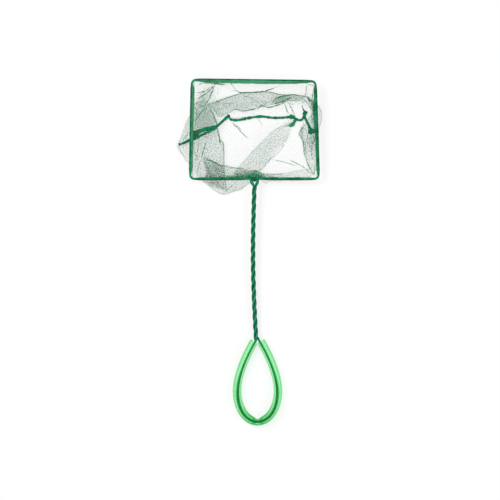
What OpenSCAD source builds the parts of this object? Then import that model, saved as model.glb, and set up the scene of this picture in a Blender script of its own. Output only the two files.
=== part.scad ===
// Aquarium fish net, lying flat with its bag collapsed inside the frame.
// One coated wire makes the frame, the three-strand handle and the hanging loop.
// All sizes are in millimetres. +X is across the net, +Y runs from the loop to the frame, +Z is up.

/* [Frame] */
// Width of the frame over the hems, at the rail that carries the handle
frame_w = 155; // [130:1:200]
// Width of the frame over the hems, at the far rail
far_w = 149; // [125:1:195]
// Sideways shift of the far rail, from bending by hand
far_shift = -0.8; // [-4:0.1:4]
// Height of the frame on its left side, between rail centres
left_h = 116.8; // [90:0.5:150]
// Height of the frame on its right side, between rail centres
right_h = 115; // [90:0.5:150]
// Bend radius of the four corners, at the wire's centre
corner_r = 4.7; // [3:0.1:12]
// Height of the near rail's centre over the table
rail_z = 10.5; // [9.5:0.1:16]

/* [Wire] */
// Diameter over the plastic coating
wire_d = 2.6; // [2:0.1:3.2]
// Diameter of the steel core
core_d = 1.6; // [0.8:0.1:1.8]

/* [Handle] */
// Length of the twist
handle_len = 180.3; // [120:0.1:260]
// Turns of the twist along the handle
handle_turns = 5.3; // [3.3:0.5:6.3]
// Sideways bow of the handle at its middle
handle_bow = 2.6; // [0:0.1:6]
// Sideways lean of the handle over its length
handle_lean = 2.1; // [-6:0.1:6]
// Distance from the near rail to the start of the twist
throat_len = 10; // [8:0.5:16]
// Distance of each rail strand from the middle as it leaves the frame
throat_half = 3.7; // [3:0.1:6]
// Bend radius where a rail turns into the handle, at the wire's centre
throat_r = 3; // [2.4:0.1:5]

/* [Loop] */
// Length of the wire loop, between centres
loop_len = 97; // [70:0.5:130]
// Width of the wire loop, between centres
loop_w = 45.7; // [34:0.1:60]
// Sideways shift of the loop from the end of the handle
loop_shift = 1.6; // [-3:0.1:3]
// Height of the wire's centre over the table at the end of the loop
loop_z = 2.4; // [2.3:0.1:4]

/* [Grip sleeve] */
// Wall of the soft sleeve
sleeve_wall = 0.9; // [0.6:0.05:1]
// Height of the sleeve on the legs of the loop
sleeve_h = 10.4; // [9.5:0.1:12]
// Extra height of the sleeve where it bends round the end
sleeve_rise = 0.8; // [0:0.1:2]
// Reach of the sleeve outwards from the wire on the legs
sleeve_out = 6.3; // [5:0.1:7]
// Reach of the sleeve outwards from the wire at the end of the loop
sleeve_end_out = 4.4; // [4:0.1:6]
// Reach of the sleeve inwards from the wire on the legs
sleeve_in = 4.4; // [4:0.1:5]
// Extra reach inwards on both sides of the crease
sleeve_swell = 1.4; // [0:0.1:2]
// Depth of the crease on the inside of the end
sleeve_crease = 2.2; // [0:0.1:2.4]
// Distance from the throat of the loop to the cut ends of the sleeve, at the wire
sleeve_start = 2.2; // [2:0.1:8]

/* [Hems] */
// Thickness of the hem tape on the wire
tape_t = 0.35; // [0.2:0.05:0.6]
// Thickness of the stitched lip, two layers of tape
lip_t = 0.8; // [0.5:0.05:1.2]
// Width of the stitched lip at the far rail
far_lip = 2.5; // [1.5:0.1:5]
// Width of the stitched lip at the side rails
side_lip = 3; // [1.5:0.1:5]
// Width of the stitched lip at the near rail
near_lip = 2; // [1.5:0.1:4]
// Angle of the far lip below level
far_lip_angle = 35; // [0:1:70]
// Angle of the side lips below level
side_lip_angle = 20; // [0:1:70]
// Angle of the near lip below level
near_lip_angle = 60; // [0:1:70]
// Bare wire left between a corner's bend and the hem
bare_wire = 3; // [1:0.1:8]
// Gap between the tape and the wire
tape_gap = 0.1; // [0.05:0.01:0.2]

/* [Bag] */
// Thickness of the net with its fine wrinkles
net_t = 0.5; // [0.4:0.05:0.7]
// Width of the bottom seam's binding
binding_d = 2.6; // [2:0.1:3.2]
// Height of the binding as a share of its width
binding_flat = 0.7; // [0.5:0.05:0.75]
// Width of the large knot of the binding
knot_d = 5.6; // [4:0.1:6]
// Width of the small knot of the binding
small_knot_d = 4; // [3:0.1:5]
// Gap between the net and what it is sewn to
net_gap = 0.3; // [0.2:0.05:0.5]

/* [Hidden] */

coat_colour = [0.07, 0.45, 0.28];
steel_colour = [0.62, 0.63, 0.64];
sleeve_colour = [0.62, 0.95, 0.68, 0.75];
tape_colour = [0.22, 0.52, 0.36];
net_colour = [0.72, 0.84, 0.76, 0.6];
binding_colour = [0.10, 0.42, 0.26];

// Facets of exact round shapes and sides of the swept ones
round_fn = 48;
wire_sides = 8;
sleeve_sides = 12;
binding_sides = 6;

wire_r = wire_d / 2;
hem_r = wire_r + tape_gap + tape_t;

// The wire lies in one plane that rises from the loop on the table to the frame on its bag
twist_end = throat_len + handle_len;
wire_reach = twist_end + loop_len;
tilt = asin((rail_z - loop_z) / wire_reach);
function lift(v) = rail_z + v * sin(tilt);

// Small vector and curve tools
function unit(a) = a / norm(a);
function mix(a, b, k) = a + (b - a) * k;
function clamp01(x) = min(1, max(0, x));
function ease(x) = let (k = clamp01(x)) k * k * (3 - 2 * k);
function flat_unit(a) = unit([a.x, a.y]);
function left_of(d) = [-d.y, d.x];
function pick(list, i) = list[min(len(list) - 1, max(0, i))];
function through(p0, p1, p2, p3, k) =
    0.5 * (2 * p1 + (p2 - p0) * k + (2 * p0 - 5 * p1 + 4 * p2 - p3) * k * k
        + (3 * p1 - p0 - 3 * p2 + p3) * k * k * k);
function open_curve(list, steps) = [
    for (i = [0:len(list) - 2], s = [0:steps - 1])
        through(pick(list, i - 1), list[i], list[i + 1], pick(list, i + 2), s / steps),
    list[len(list) - 1]
];
function wrap(list, i) = list[(i + len(list)) % len(list)];
function at_share(list, f) =
    let (x = clamp01(f) * (len(list) - 1), i = min(len(list) - 2, floor(x)))
    mix(list[i], list[i + 1], x - i);

// Direction of a list of points at point i, and one ring of a section there
function heading(p, i) = unit(pick(p, i + 1) - pick(p, i - 1));
function ring(centre, dir, r, sides) =
    let (side = unit(cross(dir, [0, 0, 1])), rise = cross(side, dir))
    [for (k = [0:sides - 1]) let (a = 360 * (k + 0.5) / sides)
        centre + r * (side * cos(a) + rise * sin(a))];

// Side faces between successive rings, turned outwards, and the flat ends
function skin_faces(first, rings, sides, flip) = [
    for (i = [0:rings - 2], k = [0:sides - 1])
        let (a = first + i * sides + k,
            b = first + i * sides + (k + 1) % sides,
            quad = [a, b, b + sides, a + sides])
        each flip
            ? [[quad[2], quad[1], quad[0]], [quad[3], quad[2], quad[0]]]
            : [[quad[0], quad[1], quad[2]], [quad[0], quad[2], quad[3]]]
];
function disc_faces(first, sides, flip) = [
    for (k = [1:sides - 2])
        flip ? [first + k + 1, first + k, first] : [first, first + k, first + k + 1]
];
function rim_faces(outer, inner, sides, flip) = [
    for (k = [0:sides - 1])
        let (m = (k + 1) % sides, quad = [outer + k, outer + m, inner + m, inner + k])
        each flip
            ? [[quad[2], quad[1], quad[0]], [quad[3], quad[2], quad[0]]]
            : [[quad[0], quad[1], quad[2]], [quad[0], quad[2], quad[3]]]
];
module rod(rings) {
    sides = len(rings[0]);
    last = (len(rings) - 1) * sides;
    polyhedron(
        points = [for (r = rings) each r],
        faces = concat(
            skin_faces(0, len(rings), sides, false),
            disc_faces(0, sides, true),
            disc_faces(last, sides, false)));
}
module pipe(outer, inner) {
    sides = len(outer[0]);
    count = len(outer);
    bore = count * sides;
    last = (count - 1) * sides;
    polyhedron(
        points = concat([for (r = outer) each r], [for (r = inner) each r]),
        faces = concat(
            skin_faces(0, count, sides, false),
            skin_faces(bore, count, sides, true),
            rim_faces(0, bore, sides, true),
            rim_faces(last, bore + last, sides, false)));
}
// A vessel open at its first ring. Its last ring is flat and is closed across its long way.
function floor_faces(first, sides, flip) = [
    for (k = [0:sides / 2 - 1])
        let (a = first + k, b = a + 1, d = first + (sides - k) % sides, c = first + sides - k - 1)
        each [
            if (k < sides / 2 - 1) flip ? [c, b, a] : [a, b, c],
            if (k > 0) flip ? [d, c, a] : [a, c, d]
        ]
];
module vessel(outer, inner) {
    sides = len(outer[0]);
    count = len(outer);
    bore = count * sides;
    last = (count - 1) * sides;
    polyhedron(
        points = concat([for (r = outer) each r], [for (r = inner) each r]),
        faces = concat(
            skin_faces(0, count, sides, false),
            skin_faces(bore, count, sides, true),
            rim_faces(0, bore, sides, true),
            floor_faces(last, sides, false),
            floor_faces(bore + last, sides, true)));
}

// Corners of the frame, on the wire's centre line, counterclockwise from near right
near_half = frame_w / 2 - hem_r;
far_half = far_w / 2 - hem_r;
near_right = [near_half, 0];
far_right = [far_half + far_shift, right_h];
far_left = [-far_half + far_shift, left_h];
near_left = [-near_half, 0];
throat_run = 1;
rail_start = throat_half + throat_r + throat_run;
near_start = [rail_start, 0];
near_end = [-rail_start, 0];

function turn(a, c, b) =
    let (d = flat_unit(c - a), e = flat_unit(b - c)) acos(d * e);
function bend_cut(a, c, b) = corner_r * tan(turn(a, c, b) / 2);
function before(a, c, b) = c - flat_unit(c - a) * bend_cut(a, c, b);
function after(a, c, b) = c + flat_unit(b - c) * bend_cut(a, c, b);

module along(a, b) {
    d = b - a;
    translate([a.x, a.y, 0])
        rotate([0, 90, atan2(d.y, d.x)])
            linear_extrude(norm(d))
                children();
}
module bend(a, c, b) {
    start = before(a, c, b);
    inward = left_of(flat_unit(c - a));
    centre = start + inward * corner_r;
    translate([centre.x, centre.y, 0])
        rotate([0, 0, atan2(-inward.y, -inward.x)])
            rotate_extrude(angle = turn(a, c, b), $fn = round_fn)
                translate([corner_r, 0])
                    children();
}
module wire_plane() {
    translate([0, 0, rail_z])
        rotate([tilt, 0, 0])
            children();
}
module coat_section() {
    difference() {
        circle(wire_r, $fn = round_fn);
        circle(core_d / 2, $fn = round_fn);
    }
}
module far_run() {
    along(after(near_right, far_right, far_left), before(far_right, far_left, near_left))
        children();
}
module left_run() {
    along(after(far_right, far_left, near_left), before(far_left, near_left, near_end))
        children();
}
module right_run() {
    along(after(near_start, near_right, far_right), before(near_right, far_right, far_left))
        children();
}
module near_left_run() {
    along(after(far_left, near_left, near_end), near_end) children();
}
module near_right_run() {
    along(near_start, before(near_start, near_right, far_right)) children();
}

// The steel core runs on through the four corners
corner_steps = 8;
function corner_points(a, c, b) =
    let (start = before(a, c, b), inward = left_of(flat_unit(c - a)), t = turn(a, c, b),
        centre = start + inward * corner_r, from = atan2(-inward.y, -inward.x))
    [for (i = [0:corner_steps]) let (g = from + t * i / corner_steps)
        [centre.x + corner_r * cos(g), centre.y + corner_r * sin(g), 0]];
frame_line = concat(
    [[near_start.x, near_start.y, 0]],
    corner_points(near_start, near_right, far_right),
    corner_points(near_right, far_right, far_left),
    corner_points(far_right, far_left, near_left),
    corner_points(far_left, near_left, near_end),
    [[near_end.x, near_end.y, 0]]);

// The handle: three strands at a third of a turn from each other round a slightly bowed line.
// They lie far enough out to clear each other halfway between two rings too.
strand_step = 3.4;
strand_gap = 0.06;
strand_rings = round(handle_len / strand_step);
ring_turn = 360 * handle_turns / strand_rings;
strand_reach = (wire_d + strand_gap) / sqrt(3) / cos(ring_turn / 2);
third = 120;
function handle_share(v) = (-v - throat_len) / handle_len;
function axis_u(v) =
    let (k = clamp01(handle_share(v))) handle_lean * k - handle_bow * sin(180 * k);
function twist(v, phase) =
    let (a = 360 * handle_turns * handle_share(v) + phase)
    [axis_u(v) + strand_reach * cos(a), v, strand_reach * sin(a)];

// The loop: a teardrop, whose half width at share k of its length is a closed formula
loop_u = handle_lean + loop_shift;
leg_gap = 0.3;
leg_apart = wire_r + leg_gap / 2;
drop_peak = 4 / (3 * sqrt(3));
function drop(a) = sin(a) * sin(a / 2) / drop_peak;
function drop_angle(k) = acos(1 - 2 * clamp01(k));
function loop_point(a, side) =
    let (k = (1 - cos(a)) / 2)
    [loop_u + side * (loop_w / 2 * drop(a) + leg_apart * (1 - k)), -twist_end - loop_len * k, 0];
function leg_at(v, side) =
    let (k = (-v - twist_end) / loop_len)
    let (p = loop_point(drop_angle(k), side)) [p.x, v, 0];

// Two strands run on into the legs of the loop: they part first, and then sink to one level.
// The third is cut off between them.
leg_part = 4;
leg_sink = 12;
cut_past = 0.8;
function strand_at(v, phase, side) =
    let (t = twist(v, phase), g = leg_at(v, side), past = -twist_end - v)
    side == 0 ? t
        : [mix(t.x, g.x, ease(1 + past / leg_part)), v, mix(t.z, 0, ease(past / leg_sink))];
strand_top = -throat_len;
strand_stop = -twist_end - leg_sink;
cut_end = -twist_end - cut_past;
function strand_levels(low) =
    let (count = round((strand_top - low) / strand_step))
    [for (i = [0:count]) mix(strand_top, low, i / count)];

// From the near rail into the throat: a quarter bend, then a blend into the twist
throat_bend_steps = 4;
throat_steps = 3;
function throat_points(side, phase) = concat(
    [[side * rail_start, 0, 0]],
    [for (i = [0:throat_bend_steps]) let (a = 90 * i / throat_bend_steps)
        [side * (throat_half + throat_r - throat_r * sin(a)), -throat_r + throat_r * cos(a), 0]],
    [for (i = [1:throat_steps - 1])
        let (k = i / throat_steps, v = mix(-throat_r, strand_top, k))
        mix([side * throat_half, v, 0], twist(v, phase), ease(k))]);

left_phase = third;
right_phase = 0;
end_phase = 2 * third;
left_strand = concat(
    throat_points(-1, left_phase),
    [for (v = strand_levels(cut_end)) strand_at(v, left_phase, 0)]);
right_strand = concat(
    throat_points(1, right_phase),
    [for (v = strand_levels(strand_stop)) strand_at(v, right_phase, -1)]);
end_strand = [for (v = strand_levels(strand_stop)) strand_at(v, end_phase, 1)];

// Wire in the loop, from the left leg round to the right leg
loop_steps = 15;
end_crowding = 0.85;
leg_start = drop_angle((-strand_stop - twist_end) / loop_len);
loop_angles = [for (i = [0:loop_steps]) mix(leg_start, 180, pow(i / loop_steps, end_crowding))];
loop_line = concat(
    [for (a = loop_angles) loop_point(a, -1)],
    [for (i = [loop_steps - 1:-1:0]) loop_point(loop_angles[i], 1)]);

// Rings of each stretch. Neighbouring stretches share the direction of their common ring.
function leave_left() = unit(loop_line[1] - right_strand[len(right_strand) - 2]);
function leave_right() =
    unit(end_strand[len(end_strand) - 2] - loop_line[len(loop_line) - 2]);
function wire_rings(p, r, first_dir, last_dir) = [
    for (i = [0:len(p) - 1])
        let (dir = i == 0 && !is_undef(first_dir) ? first_dir
            : i == len(p) - 1 && !is_undef(last_dir) ? last_dir : heading(p, i))
        ring(p[i], dir, r, wire_sides)
];
function left_rings(r) = wire_rings(left_strand, r);
function right_rings(r) = wire_rings(right_strand, r, undef, leave_left());
function end_rings(r) = wire_rings(end_strand, r, undef, -leave_right());
function loop_rings(r) = wire_rings(loop_line, r, leave_left(), leave_right());

// The sleeve lies flat on the table, so its rings are set in net coordinates and not on the wire plane
sleeve_steps = 18;
sleeve_from = drop_angle(sleeve_start / loop_len);
sleeve_gap = 0.5;
end_from = 90;
end_full = 150;
swell_full = 140;
crease_spread = 9;
function share_of(a, from, full) = ease((a - from) / (full - from));
function outward(a) = mix(sleeve_out, sleeve_end_out, share_of(a, end_from, end_full));
function crease(a) = sleeve_crease * exp(-pow((180 - a) / crease_spread, 2));
function inward(a) = a > end_full
    ? sleeve_in + sleeve_swell - crease(a)
    : min(sleeve_in + sleeve_swell * share_of(a, end_from, swell_full),
        loop_w / 2 * drop(a) + leg_apart - sleeve_gap / 2);
function sleeve_ring(p, dir, a, thin) =
    let (out_dir = [dir.y, -dir.x, 0],
        high = (sleeve_h + sleeve_rise * share_of(a, end_from, end_full)) / 2)
    [for (k = [0:sleeve_sides - 1])
        let (b = 360 * k / sleeve_sides + 90,
            reach = (cos(b) > 0 ? outward(a) : inward(a)) - thin)
        [p.x, p.y * cos(tilt), high] + out_dir * reach * cos(b) + [0, 0, (high - thin) * sin(b)]];
sleeve_angles = [
    for (i = [0:sleeve_steps]) mix(sleeve_from, 180, pow(i / sleeve_steps, end_crowding))
];
sleeve_line = concat(
    [for (a = sleeve_angles) [loop_point(a, -1), a]],
    [for (i = [sleeve_steps - 1:-1:0]) [loop_point(sleeve_angles[i], 1), sleeve_angles[i]]]);
sleeve_points = [for (s = sleeve_line) s[0]];
function sleeve_rings(thin) = [
    for (i = [0:len(sleeve_line) - 1])
        sleeve_ring(sleeve_line[i][0], heading(sleeve_points, i), sleeve_line[i][1], thin)
];

// Hems: a sleeve of tape round the rail and a stitched lip that hangs into the window
module hem_section(lip, angle) {
    difference() {
        union() {
            circle(hem_r, $fn = round_fn);
            rotate([0, 0, 90 - angle]) {
                translate([0, -lip_t / 2])
                    square([hem_r + lip - lip_t / 2, lip_t]);
                translate([hem_r + lip - lip_t / 2, 0])
                    circle(lip_t / 2, $fn = round_fn);
            }
        }
        circle(wire_r + tape_gap, $fn = round_fn);
    }
}
module hem_between(a, b, lip, angle) {
    d = flat_unit(b - a);
    along(a + d * bare_wire, b - d * bare_wire)
        hem_section(lip, angle);
}

// Bottom seam of the bag, from inside the right rail to the tip outside the left rail.
// The points are chosen by hand for a frame of the drawn size and follow the frame's size.
drawn_w = 155;
drawn_h = 116.8;
fit_x = frame_w / drawn_w;
fit_y = left_h / drawn_h;
function fit(p) = [p.x * fit_x, p.y * fit_y];
table_gap = 0.05;
floor_z = table_gap + net_t / 2;
binding_r = binding_d / 2;
seam_base = floor_z + net_t / 2 + net_gap;
seam_route = [
    [71.5, 56.5], [66, 59], [62.5, 65.5], [58.5, 72], [52, 70.5], [44, 73.5], [31, 72.5],
    [19, 72.8], [6, 73.8], [-8, 72], [-20, 70], [-30.5, 73], [-38, 67.5], [-48, 60],
    [-60, 53], [-73, 46.5], [-85.5, 41.5]
];
seam_steps = 3;
seam_flat = open_curve([for (p = seam_route) fit(p)], seam_steps);
knot_at = fit(seam_route[1]);
knot_spread = 3;
small_knot_at = fit(seam_route[5]);
small_knot_spread = 2.2;
function bulge(p, at, d, width) =
    (d / 2 - binding_r) * exp(-pow(norm([p.x, p.y] - at) / width, 2));
function binding_radius(p) = binding_r + bulge(p, knot_at, knot_d, knot_spread)
    + bulge(p, small_knot_at, small_knot_d, small_knot_spread);
seam_line = [for (p = seam_flat) [p.x, p.y, seam_base + binding_flat * binding_radius(p)]];
function flattened(ring, z) = [for (p = ring) [p.x, p.y, z + binding_flat * (p.z - z)]];

// Mouth of the bag, sewn under the lips of the hems: a place on the frame, and from it the
// middle of the net under the edge of the lip there
function mouth(c, inward, lip, angle) =
    let (reach = hem_r + lip - lip_t / 2,
        under = lip_t / 2 + net_gap + net_t / 2,
        in_plan = reach * cos(angle) - under * sin(angle))
    [c.x + inward.x * in_plan, c.y + inward.y * in_plan,
        lift(c.y) - reach * sin(angle) - under * cos(angle)];
function at_right(y) =
    let (d = far_right - near_right)
    mouth(near_right + d * y * fit_y / right_h, left_of(unit(d)), side_lip, side_lip_angle);
function at_left(y) =
    let (d = near_left - far_left)
    mouth(near_left - d * y * fit_y / left_h, left_of(unit(d)), side_lip, side_lip_angle);
function at_far(x) =
    let (d = far_left - far_right)
    mouth(far_right + d * (x * fit_x - far_right.x) / d.x, left_of(unit(d)), far_lip,
        far_lip_angle);
function at_near(x) = mouth([x * fit_x, 0], [0, 1], near_lip, near_lip_angle);

// Each row of the bag has its place on the mouth, the fold that the slack net makes inside the
// frame and its outermost fold on the table. The rows start at the right end of the seam and go
// round by the far side, the tip and the near side. Rows that face each other across the seam
// meet it at the same point.
bag_rows = [
    [at_right(56), [73.5, 57.5], [78, 59]],
    [at_right(77), [73, 77], [79.5, 75]],
    [at_right(95), [69, 87], [75.5, 86]],
    [at_right(106), [62, 92], [68, 95]],
    [at_far(59), [53, 91], [57.5, 99]],
    [at_far(46), [44, 90.5], [46, 99.5]],
    [at_far(33), [32, 88.5], [33, 100.5]],
    [at_far(20), [19.5, 86.5], [20, 103]],
    [at_far(6), [4.5, 83.5], [5.5, 103]],
    [at_far(-8), [-9, 81], [-8.5, 102.5]],
    [at_far(-21), [-21.5, 80], [-21, 100]],
    [at_far(-33), [-33, 76.5], [-33.5, 97]],
    [at_far(-46), [-42, 74.5], [-47.5, 92.5]],
    [at_far(-60), [-45.5, 73.5], [-63.5, 88]],
    [at_left(98), [-45.5, 68], [-77, 77]],
    [at_left(75), [-43, 58.5], [-84, 57]],
    [at_left(50), [-39, 46], [-89.5, 40.5]],
    [at_left(24), [-36.5, 31], [-81.5, 22.5]],
    [at_near(-65), [-37.5, 21.5], [-64.5, 1]],
    [at_near(-52), [-36.5, 16.5], [-49.5, -13]],
    [at_near(-40), [-32.5, 14], [-36, -19]],
    [at_near(-28), [-24.5, 11.5], [-25, -15.5]],
    [at_near(-16), [-13, 9.5], [-14, -10.5]],
    [at_near(-5), [-2, 8.5], [-3.5, -4.5]],
    [at_near(8), [9, 8], [8, -2.5]],
    [at_near(20), [20.5, 7.5], [20, -2]],
    [at_near(31), [31.5, 7.5], [31, -1.5]],
    [at_near(42), [42.5, 8], [42, -1.5]],
    [at_near(53), [52.5, 9.5], [53.5, -1.5]],
    [at_near(64), [61, 12.5], [66, 1.5]],
    [at_right(15), [64.5, 19], [75.5, 18]],
    [at_right(35), [68, 39], [76, 40]]
];
hang_share = 0.4;
hang_drop = 0.95;
fold_top_z = 4.4;
fold_nose_z = 3.9;
fold_low_z = 3.4;
fold_back = 1.2;
edge_share = 0.93;
edge_z = 3.3;
outer_z = 1.9;
rim_share = 0.08;
rim_z = 0.6;
mid_floor_z = 0.45;
seam_half = 0.6;
row_steps = 2;
bag_around = len(bag_rows) * row_steps;
bag_half = bag_around / 2;
function seam_point(k) =
    let (share = (k <= bag_half ? k : bag_around - k) / bag_half,
        side = k % bag_half == 0 ? 0 : k < bag_half ? 1 : -1,
        p = at_share(seam_flat, share),
        d = at_share(seam_flat, share + 0.5 / bag_half) - at_share(seam_flat, share - 0.5 / bag_half),
        away = -left_of(flat_unit(d)) * side * seam_half)
    [p.x + away.x, p.y + away.y, floor_z];
function around(list, k) =
    let (i = floor(k / row_steps), n = k % row_steps / row_steps)
    through(wrap(list, i - 1), list[i], wrap(list, i + 1), wrap(list, i + 2), n);
function raised(p, z) = [p.x, p.y, z];
function back_to(a, b) = a + (b - a) * min(1 / 3, fold_back / norm(raised(b - a, 0)));
mouth_ring = [for (r = bag_rows) r[0]];
inner_ring = [for (r = bag_rows) raised(fit(r[1]), fold_nose_z)];
outer_ring = [for (r = bag_rows) raised(fit(r[2]), outer_z)];
bag_frame = [
    for (k = [0:bag_around - 1])
        let (m = around(mouth_ring, k), n = around(inner_ring, k), f = around(outer_ring, k),
            s = seam_point(k), top = back_to(n, m), low = back_to(n, f))
        [
            m,
            raised(mix(m, top, hang_share), mix(m.z, fold_top_z, hang_drop)),
            raised(top, fold_top_z),
            n,
            raised(low, fold_low_z),
            raised(mix(low, f, edge_share), edge_z),
            f,
            raised(mix(f, s, rim_share), rim_z),
            raised(mix(f, s, 0.5), mid_floor_z),
            s
        ]
];
bag_grid = [for (l = [0:len(bag_frame[0]) - 1]) [for (row = bag_frame) row[l]]];
function between(before, here, after) =
    (here == before ? [0, 0, 0] : unit(here - before))
    + (here == after ? [0, 0, 0] : unit(after - here));
function net_normal(i, k) =
    let (here = bag_grid[i][k],
        ahead = between(wrap(bag_grid[i], k - 1), here, wrap(bag_grid[i], k + 1)),
        down = between(pick(bag_grid, i - 1)[k], here, pick(bag_grid, i + 1)[k]))
    i == len(bag_grid) - 1 ? [0, 0, 1] : unit(cross(ahead, down));
function net_skin(offset) = [
    for (i = [0:len(bag_grid) - 1])
        [for (k = [0:bag_around - 1]) bag_grid[i][k] + offset * net_normal(i, k)]
];
net_inside = net_skin(net_t / 2);
net_outside = net_skin(-net_t / 2);

// Place on the table: the middle of the whole object's box is the origin
function all_of(rings, axis) = [for (r = rings) for (p = r) p[axis]];
left_reach = -min(all_of(net_outside, 0));
right_reach = max(near_half + hem_r, max(all_of(net_outside, 0)));
hem_end = before(far_right, far_left, near_left) + bare_wire * unit(far_right - far_left);
far_reach = hem_end.y * cos(tilt) + hem_r;
near_reach = -min(all_of(sleeve_rings(0), 1));
middle_x = (right_reach - left_reach) / 2;
middle_y = (far_reach - near_reach) / 2;
module on_table() {
    translate([-middle_x, -middle_y, 0])
        children();
}

module far_rail() {
    color(coat_colour)
        on_table() wire_plane() far_run() coat_section();
}
module left_rail() {
    color(coat_colour)
        on_table() wire_plane() left_run() coat_section();
}
module right_rail() {
    color(coat_colour)
        on_table() wire_plane() right_run() coat_section();
}
module near_rail_left() {
    color(coat_colour)
        on_table() wire_plane() near_left_run() coat_section();
}
module near_rail_right() {
    color(coat_colour)
        on_table() wire_plane() near_right_run() coat_section();
}
module bend_far_left() {
    color(coat_colour)
        on_table() wire_plane() bend(far_right, far_left, near_left) coat_section();
}
module bend_far_right() {
    color(coat_colour)
        on_table() wire_plane() bend(near_right, far_right, far_left) coat_section();
}
module bend_near_left() {
    color(coat_colour)
        on_table() wire_plane() bend(far_left, near_left, near_end) coat_section();
}
module bend_near_right() {
    color(coat_colour)
        on_table() wire_plane() bend(near_start, near_right, far_right) coat_section();
}
module strand_left_rail() {
    color(coat_colour)
        on_table() wire_plane() pipe(left_rings(wire_r), left_rings(core_d / 2));
}
module strand_right_rail() {
    color(coat_colour)
        on_table() wire_plane() pipe(right_rings(wire_r), right_rings(core_d / 2));
}
module strand_loop_end() {
    color(coat_colour)
        on_table() wire_plane() pipe(end_rings(wire_r), end_rings(core_d / 2));
}
module loop_wire() {
    color(coat_colour)
        on_table() wire_plane() pipe(loop_rings(wire_r), loop_rings(core_d / 2));
}
module core_frame() {
    color(steel_colour)
        on_table() wire_plane()
            rod(wire_rings(frame_line, core_d / 2));
}
module core_strand_left_rail() {
    color(steel_colour)
        on_table() wire_plane() rod(left_rings(core_d / 2));
}
module core_strand_right_rail() {
    color(steel_colour)
        on_table() wire_plane() rod(right_rings(core_d / 2));
}
module core_strand_loop_end() {
    color(steel_colour)
        on_table() wire_plane() rod(end_rings(core_d / 2));
}
module core_loop() {
    color(steel_colour)
        on_table() wire_plane() rod(loop_rings(core_d / 2));
}
module grip_sleeve() {
    color(sleeve_colour)
        on_table() pipe(sleeve_rings(0), sleeve_rings(sleeve_wall));
}
module hem_far() {
    color(tape_colour)
        on_table() wire_plane()
            hem_between(after(near_right, far_right, far_left),
                before(far_right, far_left, near_left), far_lip, far_lip_angle);
}
module hem_left() {
    color(tape_colour)
        on_table() wire_plane()
            hem_between(after(far_right, far_left, near_left),
                before(far_left, near_left, near_end), side_lip, side_lip_angle);
}
module hem_right() {
    color(tape_colour)
        on_table() wire_plane()
            hem_between(after(near_start, near_right, far_right),
                before(near_right, far_right, far_left), side_lip, side_lip_angle);
}
module hem_near_left() {
    color(tape_colour)
        on_table() wire_plane()
            hem_between(after(far_left, near_left, near_end), near_end, near_lip, near_lip_angle);
}
module hem_near_right() {
    color(tape_colour)
        on_table() wire_plane()
            hem_between(near_start, before(near_start, near_right, far_right), near_lip,
                near_lip_angle);
}
module net_bag() {
    color(net_colour)
        on_table() vessel(net_outside, net_inside);
}
module seam_binding() {
    color(binding_colour)
        on_table()
            rod([for (i = [0:len(seam_line) - 1])
                flattened(
                    ring(seam_line[i], heading(seam_line, i), binding_radius(seam_line[i]),
                        binding_sides),
                    seam_line[i].z)]);
}

far_rail();
left_rail();
right_rail();
near_rail_left();
near_rail_right();
bend_far_left();
bend_far_right();
bend_near_left();
bend_near_right();
strand_left_rail();
strand_right_rail();
strand_loop_end();
loop_wire();
core_frame();
core_strand_left_rail();
core_strand_right_rail();
core_strand_loop_end();
core_loop();
grip_sleeve();
hem_far();
hem_left();
hem_right();
hem_near_left();
hem_near_right();
net_bag();
seam_binding();
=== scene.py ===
import bpy
import math
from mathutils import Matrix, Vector, noise
from mathutils.bvhtree import BVHTree


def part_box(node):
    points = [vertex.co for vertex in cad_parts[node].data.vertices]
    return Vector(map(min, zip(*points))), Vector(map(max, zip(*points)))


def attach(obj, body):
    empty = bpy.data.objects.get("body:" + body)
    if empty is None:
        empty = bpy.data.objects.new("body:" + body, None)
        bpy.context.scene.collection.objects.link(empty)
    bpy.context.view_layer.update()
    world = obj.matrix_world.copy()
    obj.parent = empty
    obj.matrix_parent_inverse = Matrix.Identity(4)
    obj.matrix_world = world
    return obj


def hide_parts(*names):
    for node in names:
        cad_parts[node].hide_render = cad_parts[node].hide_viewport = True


# noise_vector starts from the clock unless it is given a seed
noiseSeed = 5
noise.seed_set(noiseSeed)
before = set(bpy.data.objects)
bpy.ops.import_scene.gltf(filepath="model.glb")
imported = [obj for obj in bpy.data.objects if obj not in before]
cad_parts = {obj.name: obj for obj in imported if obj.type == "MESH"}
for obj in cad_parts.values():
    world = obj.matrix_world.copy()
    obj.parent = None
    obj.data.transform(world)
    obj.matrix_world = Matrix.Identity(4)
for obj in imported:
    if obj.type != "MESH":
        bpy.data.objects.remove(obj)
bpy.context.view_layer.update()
print("frame loaded:", len(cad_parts), "nodes")

mm = 0.001

# the wire's own sizes, as the model has them
wire = {
    "radius": 1.3 * mm,
    "throatLength": 10 * mm,
    "throatHalf": 3.7 * mm,
    "throatBend": 3 * mm,
    "bendSteps": 8,
    "bendSwell": 0.5,
    "twistLength": 180.3 * mm,
    "twistTurns": 5.3,
    "rightPhase": 0,
    "leftPhase": 120,
    "endPhase": 240,
    "bow": 2.6 * mm,
    "lean": 2.1 * mm,
    "strandReach": 1.56 * mm,
    "strandStep": 1.2 * mm,
    "loopLength": 97 * mm,
    "loopWidth": 45.7 * mm,
    "loopShift": 1.6 * mm,
    "loopSteps": 60,
    "legGap": 0.3 * mm,
    "legPart": 4 * mm,
    "legSink": 12 * mm,
    "cutPast": 0.8 * mm,
    "endHeight": 2.4 * mm,
}

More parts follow.
